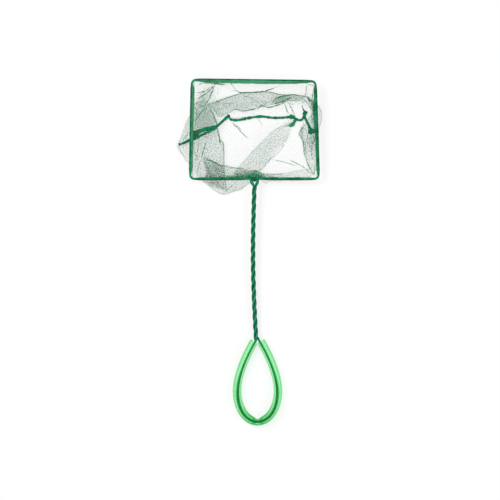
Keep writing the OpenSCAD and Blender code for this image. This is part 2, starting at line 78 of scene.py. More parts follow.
# the net's own origin is on the near rail, in the middle of the handle
leftLow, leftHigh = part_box("near_rail_left")
rightLow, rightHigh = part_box("near_rail_right")
railStart = (rightLow.x - leftHigh.x) / 2
originX = (rightLow.x + leftHigh.x) / 2
originY = (leftLow.y + leftHigh.y) / 2
railHeight = (leftLow.z + leftHigh.z) / 2
twistEnd = wire["throatLength"] + wire["twistLength"]
tilt = math.asin((railHeight - wire["endHeight"]) / (twistEnd + wire["loopLength"]))


# mix goes from a to b as k goes from 0 to 1, and ease makes such a k from x, with soft ends
def mix(a, b, k):
    return a + (b - a) * k


def clamp(x):
    return min(1, max(0, x))


def ease(x):
    k = clamp(x)
    return k * k * (3 - 2 * k)


def onWirePlane(u, v, w):
    return Vector((originX + u, originY + v * math.cos(tilt) - w * math.sin(tilt),
                   railHeight + v * math.sin(tilt) + w * math.cos(tilt)))


def netPoint(x, y, z):
    return Vector((originX + x * mm, originY + y * mm, z * mm))


def addObject(name, data):
    added = bpy.data.objects.new(name, data)
    bpy.context.scene.collection.objects.link(added)
    return added


def selectOnly(piece):
    bpy.ops.object.select_all(action="DESELECT")
    piece.select_set(True)
    bpy.context.view_layer.objects.active = piece


# a smooth curve from b to c that comes from a and goes on to d
def through(a, b, c, d, k):
    return 0.5 * (2 * b + (c - a) * k + (2 * a - 5 * b + 4 * c - d) * k * k
                  + (3 * b - a - 3 * c + d) * k * k * k)


def smoothRoute(points, steps):
    route = []
    for i in range(len(points) - 1):
        a, b, c = points[max(0, i - 1)], points[i], points[i + 1]
        d = points[min(len(points) - 1, i + 2)]
        route += [through(a, b, c, d, s / steps) for s in range(steps)]
    return route + [points[-1]]


# materials: small helpers that wire up nodes. A look's "shader" holds what its main shader gets
def newMaterial(name, look):
    material = bpy.data.materials.new(name)
    material.use_nodes = True
    shader = material.node_tree.nodes["Principled BSDF"]
    for socket, value in look["shader"].items():
        shader.inputs[socket].default_value = value
    return material, material.node_tree, shader


def addNode(tree, kind, **values):
    node = tree.nodes.new(kind)
    for name, value in values.items():
        setattr(node, name, value)
    return node


def mathNode(tree, operation, a, b=None, c=None, clamped=False):
    node = addNode(tree, "ShaderNodeMath", operation=operation, use_clamp=clamped)
    for socket, value in zip(node.inputs, (a, b, c)):
        if value is None:
            continue
        if isinstance(value, (int, float)):
            socket.default_value = value
        else:
            tree.links.new(value, socket)
    return node.outputs[0]


def noiseNode(tree, vector, scale, detail, roughness=0.5, space="3D"):
    node = addNode(tree, "ShaderNodeTexNoise", noise_dimensions=space)
    node.inputs["Scale"].default_value = scale
    node.inputs["Detail"].default_value = detail
    node.inputs["Roughness"].default_value = roughness
    tree.links.new(vector, node.inputs["Vector"])
    return node.outputs["Fac"]


def colourRamp(tree, factor, stops):
    node = addNode(tree, "ShaderNodeValToRGB")
    ramp = node.color_ramp
    while len(ramp.elements) < len(stops):
        ramp.elements.new(stops[0][0])
    for element, (place, colour) in zip(ramp.elements, stops):
        element.position = place
        element.color = (*colour, 1)
    tree.links.new(factor, node.inputs["Fac"])
    return node.outputs["Color"]


def bumpNode(tree, height, distance, strength=1.0):
    node = addNode(tree, "ShaderNodeBump")
    node.inputs["Distance"].default_value = distance
    node.inputs["Strength"].default_value = strength
    tree.links.new(height, node.inputs["Height"])
    return node.outputs["Normal"]


def objectCoordinates(tree):
    return addNode(tree, "ShaderNodeTexCoord").outputs["Object"]


def attributeFactor(tree, name):
    return addNode(tree, "ShaderNodeAttribute", attribute_name=name).outputs["Fac"]


# in the settings a noise is given by its scale, detail and roughness, a change of a value by its
# gain and shift, and a bump by its distance and strength
coating = {
    "shader": {"Specular IOR Level": 0.12, "Coat Weight": 0.05, "Coat Roughness": 0.2},
    "blotches": (260, 4, 0.6),
    "creviceDark": 0.42,
    "colours": [(0.0, (0.0006, 0.035, 0.013)), (0.3, (0.002, 0.120, 0.050)),
                (0.5, (0.005, 0.205, 0.098)), (0.78, (0.010, 0.290, 0.150))],
    "fine": (1500, 2),
    "roughness": (0.25, 0.28),
    "ripple": (420, 3),
    "bump": (0.12 * mm, 0.6),
}


def coatingMaterial(name, crevice):
    material, tree, shader = newMaterial(name, coating)
    place = objectCoordinates(tree)
    shade = noiseNode(tree, place, *coating["blotches"])
    # painted shade: the strands' attribute darkens the coating in the grooves and along the loop
    if crevice:
        depth = mathNode(tree, "MULTIPLY", attributeFactor(tree, "crevice"), coating["creviceDark"])
        shade = mathNode(tree, "SUBTRACT", shade, depth)
    tree.links.new(colourRamp(tree, shade, coating["colours"]), shader.inputs["Base Color"])
    fine = noiseNode(tree, place, *coating["fine"])
    rough = mathNode(tree, "MULTIPLY_ADD", fine, *coating["roughness"])
    tree.links.new(rough, shader.inputs["Roughness"])
    ripple = noiseNode(tree, place, *coating["ripple"])
    tree.links.new(bumpNode(tree, ripple, *coating["bump"]), shader.inputs["Normal"])
    return material


steel = {
    "shader": {"Metallic": 1.0},
    "streaks": (900, 3),
    "colours": [(0.3, (0.38, 0.38, 0.39)), (0.7, (0.62, 0.62, 0.63))],
    "roughness": (0.3, 0.25),
}


def steelMaterial():
    material, tree, shader = newMaterial("steelCore", steel)
    streaks = noiseNode(tree, objectCoordinates(tree), *steel["streaks"])
    tree.links.new(colourRamp(tree, streaks, steel["colours"]), shader.inputs["Base Color"])
    rough = mathNode(tree, "MULTIPLY_ADD", streaks, *steel["roughness"])
    tree.links.new(rough, shader.inputs["Roughness"])
    return material


greenCoating = coatingMaterial("greenCoating", False)
# the coating of the strands, with painted shade in its grooves and along the loop
strandCoatingPaintedShade = coatingMaterial("strandCoatingPaintedShade", True)
steelCore = steelMaterial()
for name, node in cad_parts.items():
    if name.startswith("core_"):
        node.data.materials.clear()
        node.data.materials.append(steelCore)
    elif "rail" in name or "bend" in name:
        node.data.materials.clear()
        node.data.materials.append(greenCoating)
print("wire finish on the rails")


# meshes: one from points and faces, or a smooth round tube along a line
meshes = {
    "merge": 1e-6,
    "sharp": 50,
    "roundness": 5,
}


def outwardAndSmooth(piece, sharp=meshes["sharp"]):
    bpy.ops.object.mode_set(mode="EDIT")
    bpy.ops.mesh.select_all(action="SELECT")
    bpy.ops.mesh.remove_doubles(threshold=meshes["merge"])
    bpy.ops.mesh.normals_make_consistent(inside=False)
    bpy.ops.object.mode_set(mode="OBJECT")
    bpy.ops.object.shade_smooth_by_angle(angle=math.radians(sharp))


def setValues(piece, **values):
    for name, numbers in values.items():
        piece.data.attributes.new(name, "FLOAT", "POINT").data.foreach_set("value", numbers)


def meshPiece(name, points, faces, **values):
    mesh = bpy.data.meshes.new(name)
    mesh.from_pydata(points, [], faces)
    mesh.update()
    piece = addObject(name, mesh)
    setValues(piece, **values)
    selectOnly(piece)
    return piece


def tubeFaces(first, steps, sides, flip=False):
    # the faces between each ring of points and the next one
    faces = []
    for i in range(steps):
        for k in range(sides):
            a, b = first + i * sides + k, first + i * sides + (k + 1) % sides
            quad = (a, b, b + sides, a + sides)
            faces.append(quad[::-1] if flip else quad)
    return faces


def gridFaces(steps, row):
    # the faces between each row of points and the next one
    return [(a, a + 1, a + row + 1, a + row)
            for i in range(steps) for a in range(i * row, (i + 1) * row - 1)]


def tubeAlong(name, points, radius, roundness=meshes["roundness"], cyclic=False, radii=None):
    curve = bpy.data.curves.new(name, "CURVE")
    curve.dimensions = "3D"
    curve.bevel_depth = radius
    curve.bevel_resolution = roundness
    curve.use_fill_caps = not cyclic
    spline = curve.splines.new("POLY")
    spline.points.add(len(points) - 1)
    for i, place in enumerate(points):
        spline.points[i].co = (*place, 1)
        spline.points[i].radius = radii[i] if radii else 1
    spline.use_cyclic_u = cyclic
    selectOnly(addObject(name, curve))
    bpy.ops.object.convert(target="MESH")
    tube = bpy.context.view_layer.objects.active
    outwardAndSmooth(tube)
    return tube


# the handle's strands and the loop's wire: v is the place along the handle, from 0 at the near
# rail to less than 0 at the loop, and side is -1 or 1 for a leg of the loop and 0 for the cut end
def twistShare(v):
    return (-v - wire["throatLength"]) / wire["twistLength"]


def twistMiddle(share):
    k = clamp(share)
    return wire["lean"] * k - wire["bow"] * math.sin(math.pi * k)


def twistPoint(v, phase):
    share = twistShare(v)
    angle = 2 * math.pi * wire["twistTurns"] * share + math.radians(phase)
    reach = wire["strandReach"]
    return Vector((twistMiddle(share) + reach * math.cos(angle), v, reach * math.sin(angle)))


loopMiddle = wire["lean"] + wire["loopShift"]
legApart = wire["radius"] + wire["legGap"] / 2


# half the width of a drop, 1 at its widest
def drop(angle):
    return math.sin(angle) * math.sin(angle / 2) * 3 * math.sqrt(3) / 4


def loopPoint(angle, side):
    k = (1 - math.cos(angle)) / 2
    across = wire["loopWidth"] / 2 * drop(angle) + legApart * (1 - k)
    return Vector((loopMiddle + side * across, -twistEnd - wire["loopLength"] * k, 0))


def legPoint(v, side):
    k = clamp((-v - twistEnd) / wire["loopLength"])
    return Vector((loopPoint(math.acos(1 - 2 * k), side).x, v, 0))


def strandPoint(v, phase, side):
    here = twistPoint(v, phase)
    if side == 0:
        return here
    past = -twistEnd - v
    return Vector((mix(here.x, legPoint(v, side).x, ease(1 + past / wire["legPart"])), v,
                   mix(here.z, 0, ease(past / wire["legSink"]))))


def throatPoints(side, phase):
    bend, half, steps = wire["throatBend"], wire["throatHalf"], wire["bendSteps"]
    points = [Vector((side * railStart, 0, 0))]
    for i in range(steps + 1):
        a = math.pi / 2 * i / steps
        points.append(Vector((side * (half + bend - bend * math.sin(a)),
                              -bend + bend * math.cos(a), 0)))
    for i in range(1, steps):
        k = i / steps
        v = mix(-bend, -wire["throatLength"], k)
        points.append(Vector((side * half, v, 0)).lerp(twistPoint(v, phase), ease(k)))
    return points


def strandRun(low, phase, side):
    top = -wire["throatLength"]
    count = round((top - low) / wire["strandStep"])
    return [strandPoint(mix(top, low, i / count), phase, side) for i in range(count + 1)]


# painted shade: where a strand faces the other two its finish is painted darker, as in the shade of
# a groove, and the wire is painted darker along the far part of the loop too
crevices = {
    "throatShare": 0.6,
    "throatEase": 4 * mm,
    "endEase": 2 * mm,
    "reach": 2.55 * mm,
    "spread": 1.1 * mm,
    "loopFrom": 0.4,
    "loopEase": 0.2,
    "loopShade": 0.45,
}


def paintStrandShade(piece):
    values = []
    begin = crevices["throatShare"] * wire["throatLength"]
    for vertex in piece.data.vertices:
        v = (vertex.co.y - originY) / math.cos(tilt)
        away = math.hypot(vertex.co.x - originX - twistMiddle(twistShare(v)),
                          vertex.co.z - railHeight - v * math.sin(tilt))
        inTwist = (ease((-v - begin) / crevices["throatEase"])
                   * ease((twistEnd + v) / crevices["endEase"]))
        inGroove = ease((crevices["reach"] - away) / crevices["spread"])
        downLoop = (-v - twistEnd) / wire["loopLength"]
        inLoop = ease((downLoop - crevices["loopFrom"]) / crevices["loopEase"])
        values.append(max(inTwist * inGroove, crevices["loopShade"] * inLoop))
    setValues(piece, crevice=values)


def makeHandle():
    stop = -twistEnd - wire["legSink"]
    cutEnd = -twistEnd - wire["cutPast"]
    legStart = math.acos(1 - 2 * wire["legSink"] / wire["loopLength"])
    steps = wire["loopSteps"]
    angles = [mix(legStart, math.pi, i / steps) for i in range(1, steps + 1)]
    loop = [loopPoint(a, -1) for a in angles] + [loopPoint(a, 1) for a in reversed(angles[:-1])]
    longRoute = (throatPoints(1, wire["rightPhase"]) + strandRun(stop, wire["rightPhase"], -1)
                 + loop + list(reversed(strandRun(stop, wire["endPhase"], 1))))
    shortRoute = (throatPoints(-1, wire["leftPhase"])
                  + strandRun(cutEnd, wire["leftPhase"], 0))
    made = []
    for name, route in (("handleWire", longRoute), ("shortStrand", shortRoute)):
        # the coating is thicker in the throat
        radii = [1 + wire["bendSwell"] * math.sin(math.pi * ease(-p.y / wire["throatLength"]))
                 for p in route]
        made.append(tubeAlong(name, [onWirePlane(*p) for p in route], wire["radius"], radii=radii))
    longWire, shortWire = made
    for piece in (longWire, shortWire):
        # paints the shade of the grooves and of the loop into each strand's points
        paintStrandShade(piece)
        piece.data.materials.append(strandCoatingPaintedShade)
        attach(piece, "root")
    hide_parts("strand_right_rail", "loop_wire", "strand_loop_end")
    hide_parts("strand_left_rail")


makeHandle()
print("handle done")


# the soft sleeve on the loop: degrees along the loop run from 0 at the throat to 180 at its end,
# and the value "side" is 0 in the middle of the sleeve, 0.5 at its edges and more on its folds
sleeve = {
    "wall": 0.9 * mm,
    "height": 10.4 * mm,
    "rise": 0.8 * mm,
    "outReach": 6.3 * mm,
    "endOutReach": 4.4 * mm,
    "inReach": 3.8 * mm,
    "swell": 2.0 * mm,
    "bend": (90, 150),
    "innerBend": (90, 140),
    "crease": 2.2 * mm,
    "creaseSpread": 9,
    "start": 2.0 * mm,
    "endGap": 0.5 * mm,
    "rings": 90,
    "crowding": 0.85,
    "sides": 48,
    "shader": {"Roughness": 0.22, "IOR": 1.45, "Specular IOR Level": 0.2},
    # the tint deepens and the cover rises with the painted depth of colour held in "side"
    "colours": [(0.3, (0.14, 1.0, 0.22)), (0.5, (0.01, 0.47, 0.10))],
    "tints": [(0.33, (0.84, 1.0, 0.865)), (0.5, (0.62, 0.92, 0.71)), (1.0, (0.36, 0.82, 0.50))],
    "cover": (0.16, 0.04),
    "coverPower": 8,
}
# how deep its colour is painted: on the two folds that cross where it is bent hardest, along its
# edges, more so at the outer bend, and in the floor below the wire, which the round wall makes look
# wider. This is painted light: the deep edges stand in for the wall seen edge-on and the band below
# the wire for its image spread by the round wall; the folds are real, their dark lines painted
paintedDepths = {
    "foldLength": 20,
    "foldSlant": 1.1,
    "foldWidth": 0.14,
    "foldFade": 1.3,
    "fold": 2,
    "rimBend": (120, 165),
    "rim": 0.3,
    "floorBend": (50, 120),
    "floorLeast": 0.35,
    "floorWidth": 0.5,
    "floorEase": 0.5,
    "floor": 2.2,
}


def sleeveMaterial():
    material, tree, shader = newMaterial("softSleeve", sleeve)
    # painted light: "side" deepens the clear tint and raises the opaque cover at the edges, on the
    # folds and below the wire
    side = attributeFactor(tree, "side")
    tree.links.new(colourRamp(tree, side, sleeve["colours"]), shader.inputs["Base Color"])
    clear = addNode(tree, "ShaderNodeBsdfTransparent")
    tree.links.new(colourRamp(tree, side, sleeve["tints"]), clear.inputs["Color"])
    toEdge = mathNode(tree, "MULTIPLY", side, 2, clamped=True)
    atEdge = mathNode(tree, "POWER", toEdge, sleeve["coverPower"])
    both = addNode(tree, "ShaderNodeMixShader")
    tree.links.new(mathNode(tree, "MULTIPLY_ADD", atEdge, *sleeve["cover"]), both.inputs["Fac"])
    tree.links.new(clear.outputs["BSDF"], both.inputs[1])
    tree.links.new(shader.outputs["BSDF"], both.inputs[2])
    tree.links.new(both.outputs["Shader"], tree.nodes["Material Output"].inputs["Surface"])
    return material


def shareOf(angle, start, full):
    return ease((math.degrees(angle) - start) / (full - start))


def sleeveOutward(angle):
    return mix(sleeve["outReach"], sleeve["endOutReach"], shareOf(angle, *sleeve["bend"]))


def sleeveInward(angle):
    if math.degrees(angle) > sleeve["bend"][1]:
        notch = math.exp(-(math.degrees(math.pi - angle) / sleeve["creaseSpread"]) ** 2)
        return sleeve["inReach"] + sleeve["swell"] - sleeve["crease"] * notch
    return min(sleeve["inReach"] + sleeve["swell"] * shareOf(angle, *sleeve["innerBend"]),
               wire["loopWidth"] / 2 * drop(angle) + legApart - sleeve["endGap"] / 2)


def paintedDepth(angle, across, up):
    past = math.degrees(math.pi - angle) / paintedDepths["foldLength"]
    fold = paintedDepths["fold"] * ease(paintedDepths["foldFade"] - past)
    fold *= math.exp(-((abs(across) - past * paintedDepths["foldSlant"]) / paintedDepths["foldWidth"]) ** 2)
    rim = 1 + paintedDepths["rim"] * shareOf(angle, *paintedDepths["rimBend"])
    floor = paintedDepths["floor"] * math.exp(-(across / paintedDepths["floorWidth"]) ** 2)
    floor *= mix(paintedDepths["floorLeast"], 1, shareOf(angle, *paintedDepths["floorBend"]))
    return max(abs(across) * rim, fold, floor * ease(-up / paintedDepths["floorEase"]))


def sleeveRing(place, heading, angle, inset):
    outDirection = Vector((heading.y, -heading.x, 0))
    high = (sleeve["height"] + sleeve["rise"] * shareOf(angle, *sleeve["bend"])) / 2
    ring = []
    for k in range(sleeve["sides"]):
        b = 2 * math.pi * k / sleeve["sides"] + math.pi / 2
        reach = (sleeveOutward(angle) if math.cos(b) > 0 else sleeveInward(angle)) - inset
        point = Vector((originX + place.x, originY + place.y * math.cos(tilt), high))
        point += outDirection * reach * math.cos(b)
        point.z += (high - inset) * math.sin(b)
        # each point keeps its painted depth of colour as "side"
        ring.append((point, paintedDepth(angle, math.cos(b), math.sin(b)) / 2))
    return ring


def makeSleeve():
    count, sides = sleeve["rings"], sleeve["sides"]
    start = math.acos(1 - 2 * sleeve["start"] / wire["loopLength"])
    angles = [mix(start, math.pi, (i / count) ** sleeve["crowding"]) for i in range(count + 1)]
    line = [(loopPoint(a, -1), a) for a in angles]
    line += [(loopPoint(a, 1), a) for a in reversed(angles[:-1])]
    rings = []
    for inset in (0, sleeve["wall"]):
        for i, (place, angle) in enumerate(line):
            heading = (line[min(len(line) - 1, i + 1)][0] - line[max(0, i - 1)][0]).normalized()
            rings.append(sleeveRing(place, heading, angle, inset))
    half = len(line)
    faces = tubeFaces(0, half - 1, sides) + tubeFaces(half * sides, half - 1, sides, True)
    for ring, flip in ((0, True), (half - 1, False)):
        for k in range(sides):
            m = (k + 1) % sides
            outer, inner = ring * sides, (half + ring) * sides
            quad = (outer + k, outer + m, inner + m, inner + k)
            faces.append(quad[::-1] if flip else quad)
    piece = meshPiece("gripSleeve", [p for ring in rings for p, _ in ring], faces,
                      side=[s for ring in rings for _, s in ring])
    outwardAndSmooth(piece)
    piece.data.materials.append(sleeveMaterial())
    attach(piece, "root")
    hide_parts("grip_sleeve")


makeSleeve()
print("sleeve done")


# the net bag: rows from the mouth over two folds and down to the seam, in millimetres from the
# net's own origin. Each row has its side of the frame, its place along it, the inner fold, the
# outer fold, a point on the floor, the seam's x there and the kind of fold.
bagRows = [
    ("right", 55, (54.5, 54.5), (75.5, 57), (72, 56.5), 71.5, "side"),
    ("right", 70, (61, 66), (79, 70), (70, 64), 69, "side"),
    ("right", 84, (69.5, 81), (79, 81), (66, 74), 65, "side"),
    ("right", 96, (65, 90), (73, 89), (62, 82), 61, "side"),
    ("right", 112.3, (60.5, 97), (66, 95.5), (58, 86), 57.5, "far"),
    ("far", 67, (52, 92.5), (59.5, 98.5), (54, 84), 53, "far"),
    ("far", 50, (45, 92), (49, 99), (47, 83), 46, "far"),
    ("far", 40, (38, 91), (39, 99.5), (38, 82), 39, "far"),
    ("far", 31, (30, 89.5), (30, 101), (31, 82), 31, "far"),
    ("far", 20, (20, 87), (20, 103), (20, 82), 20, "far"),
    ("far", 6, (4, 84.5), (4, 103), (5, 82), 6, "far"),
    ("far", -10, (-10, 79.5), (-12, 102), (-8, 79), -8, "far"),
    ("far", -24, (-23, 82), (-25, 99), (-21, 78), -21, "far"),
    ("far", -36, (-33, 76.5), (-38, 95), (-30, 79), -31, "far"),
    ("far", -46, (-42, 73), (-50, 91), (-42, 72), -40, "far"),
    ("far", -48, (-47, 82), (-56, 88), (-50, 66), -48, "flap"),
    ("far", -51, (-57, 90), (-66, 84), (-56, 62), -53, "flap"),
    ("far", -54, (-70, 90), (-74, 82), (-60, 59), -56, "flap"),
    ("far", -57, (-61, 86), (-76, 78), (-64, 57), -60, "flap"),
    ("far", -71.5, (-50, 78), (-78, 73), (-67, 55), -65, "flap"),
    ("left", 113.5, (-46, 69), (-80, 68), (-70, 53), -70, "flap"),
    ("left", 84, (-43, 58), (-84, 56), (-76, 50), -76, "flap"),
    ("left", 58, (-40, 48), (-88, 44), (-84, 43), -82, "flap"),
    ("left", 46, (-37, 43), (-89.3, 40), (-87, 40.5), -86.5, "flap"),
    ("left", 34, (-36, 33), (-86, 31), (-80, 37), -81, "flap"),
    ("left", 20, (-35.5, 20), (-79, 20), (-68, 34), -74, "flap"),
    ("left", 3.5, (-35, 4), (-70, 6), (-58, 30), -66, "flap"),
    ("near", -73, (-35, -13), (-60, -3), (-52, 30), -59, "flap"),
    ("near", -53, (-60.6, 23.5), (-51, -10.5), (-45, 34), -53, "near"),
    ("near", -46, (-49, 21), (-44, -15.5), (-40, 37), -47, "near"),
    ("near", -37, (-38, 15.6), (-35, -18.5), (-33, 38), -40, "near"),
    ("near", -25, (-24, 13.4), (-23, -14), (-24, 40), -28, "near"),
    ("near", -14, (-12, 11.5), (-10, -8), (-10, 42), 5, "near"),
    ("near", -6, (4.5, 8.5), (19, 24), (38, 47), 46, "pleatOver"),
    ("near", -2, (-24.5, 7), (-10, 23), (16.5, 50.5), 43.5, "pleatUnder"),
    ("near", 6, (10, 6.5), (12, -3), (26, 40), 48, "thin"),
    ("near", 20, (18, 6), (19, -2), (40, 40), 50, "thin"),
    ("near", 34, (33, 7), (33, -1.5), (48, 42), 53, "thin"),
    ("near", 48, (48, 9), (48, -1), (53, 44), 56, "thin"),
    ("near", 73, (60, 12), (63, 1), (58, 42), 59, "thin"),
    ("right", 3.5, (65.5, 14.5), (74, 13), (63, 36), 63, "side"),
    ("right", 26, (58.5, 28.5), (76, 29), (66, 42), 67, "side"),
    ("right", 40, (58, 41.5), (76.5, 45), (70, 50), 70, "side"),
]
# for each kind of row: heights of the two folds and the floor point, how thick the mesh lies
# from the mouth to the seam, how dark the two folds are and how much the mesh waves
rowKinds = {
    "side": ((2.2, 1.2, 0.5), (0.55, 0.50, 0.52, 0.42, 0.26, 0.11), (0.55, 0.25, 0.8)),
    "far": ((4.4, 2.6, 0.8), (0.10, 0.18, 0.62, 0.60, 0.26, 0.11), (0.45, 0.35, 0.8)),
    "flap": ((4.4, 3.0, 0.8), (0.30, 0.50, 0.60, 0.34, 0.42, 0.36), (0.50, 0.35, 0.8)),
    "near": ((3.8, 1.8, 0.7), (0.40, 0.45, 0.55, 0.38, 0.18, 0.11), (0.45, 0.30, 0.7)),
    "thin": ((3.8, 1.8, 0.7), (0.30, 0.30, 0.32, 0.22, 0.15, 0.11), (0.28, 0.2, 0.6)),
    "pleatOver": ((1.8, 2.0, 2.4), (0.60, 0.60, 0.56, 0.56, 0.52, 0.13), (0.2, 0.0, 0.25)),
    "pleatUnder": ((1.2, 1.4, 1.8), (0.60, 0.60, 0.56, 0.56, 0.52, 0.13), (0.2, 0.0, 0.25)),
}
seamRoute = [
    (71.5, 56.5), (66, 59), (62.5, 65.5), (58.5, 72), (52, 70.5), (44, 73.5), (31, 72.5),
    (19, 72.8), (6, 73.8), (-8, 72), (-20, 70), (-30.5, 73), (-38, 67.5), (-48, 60),
    (-60, 53), (-73, 46.5), (-87, 41),
]
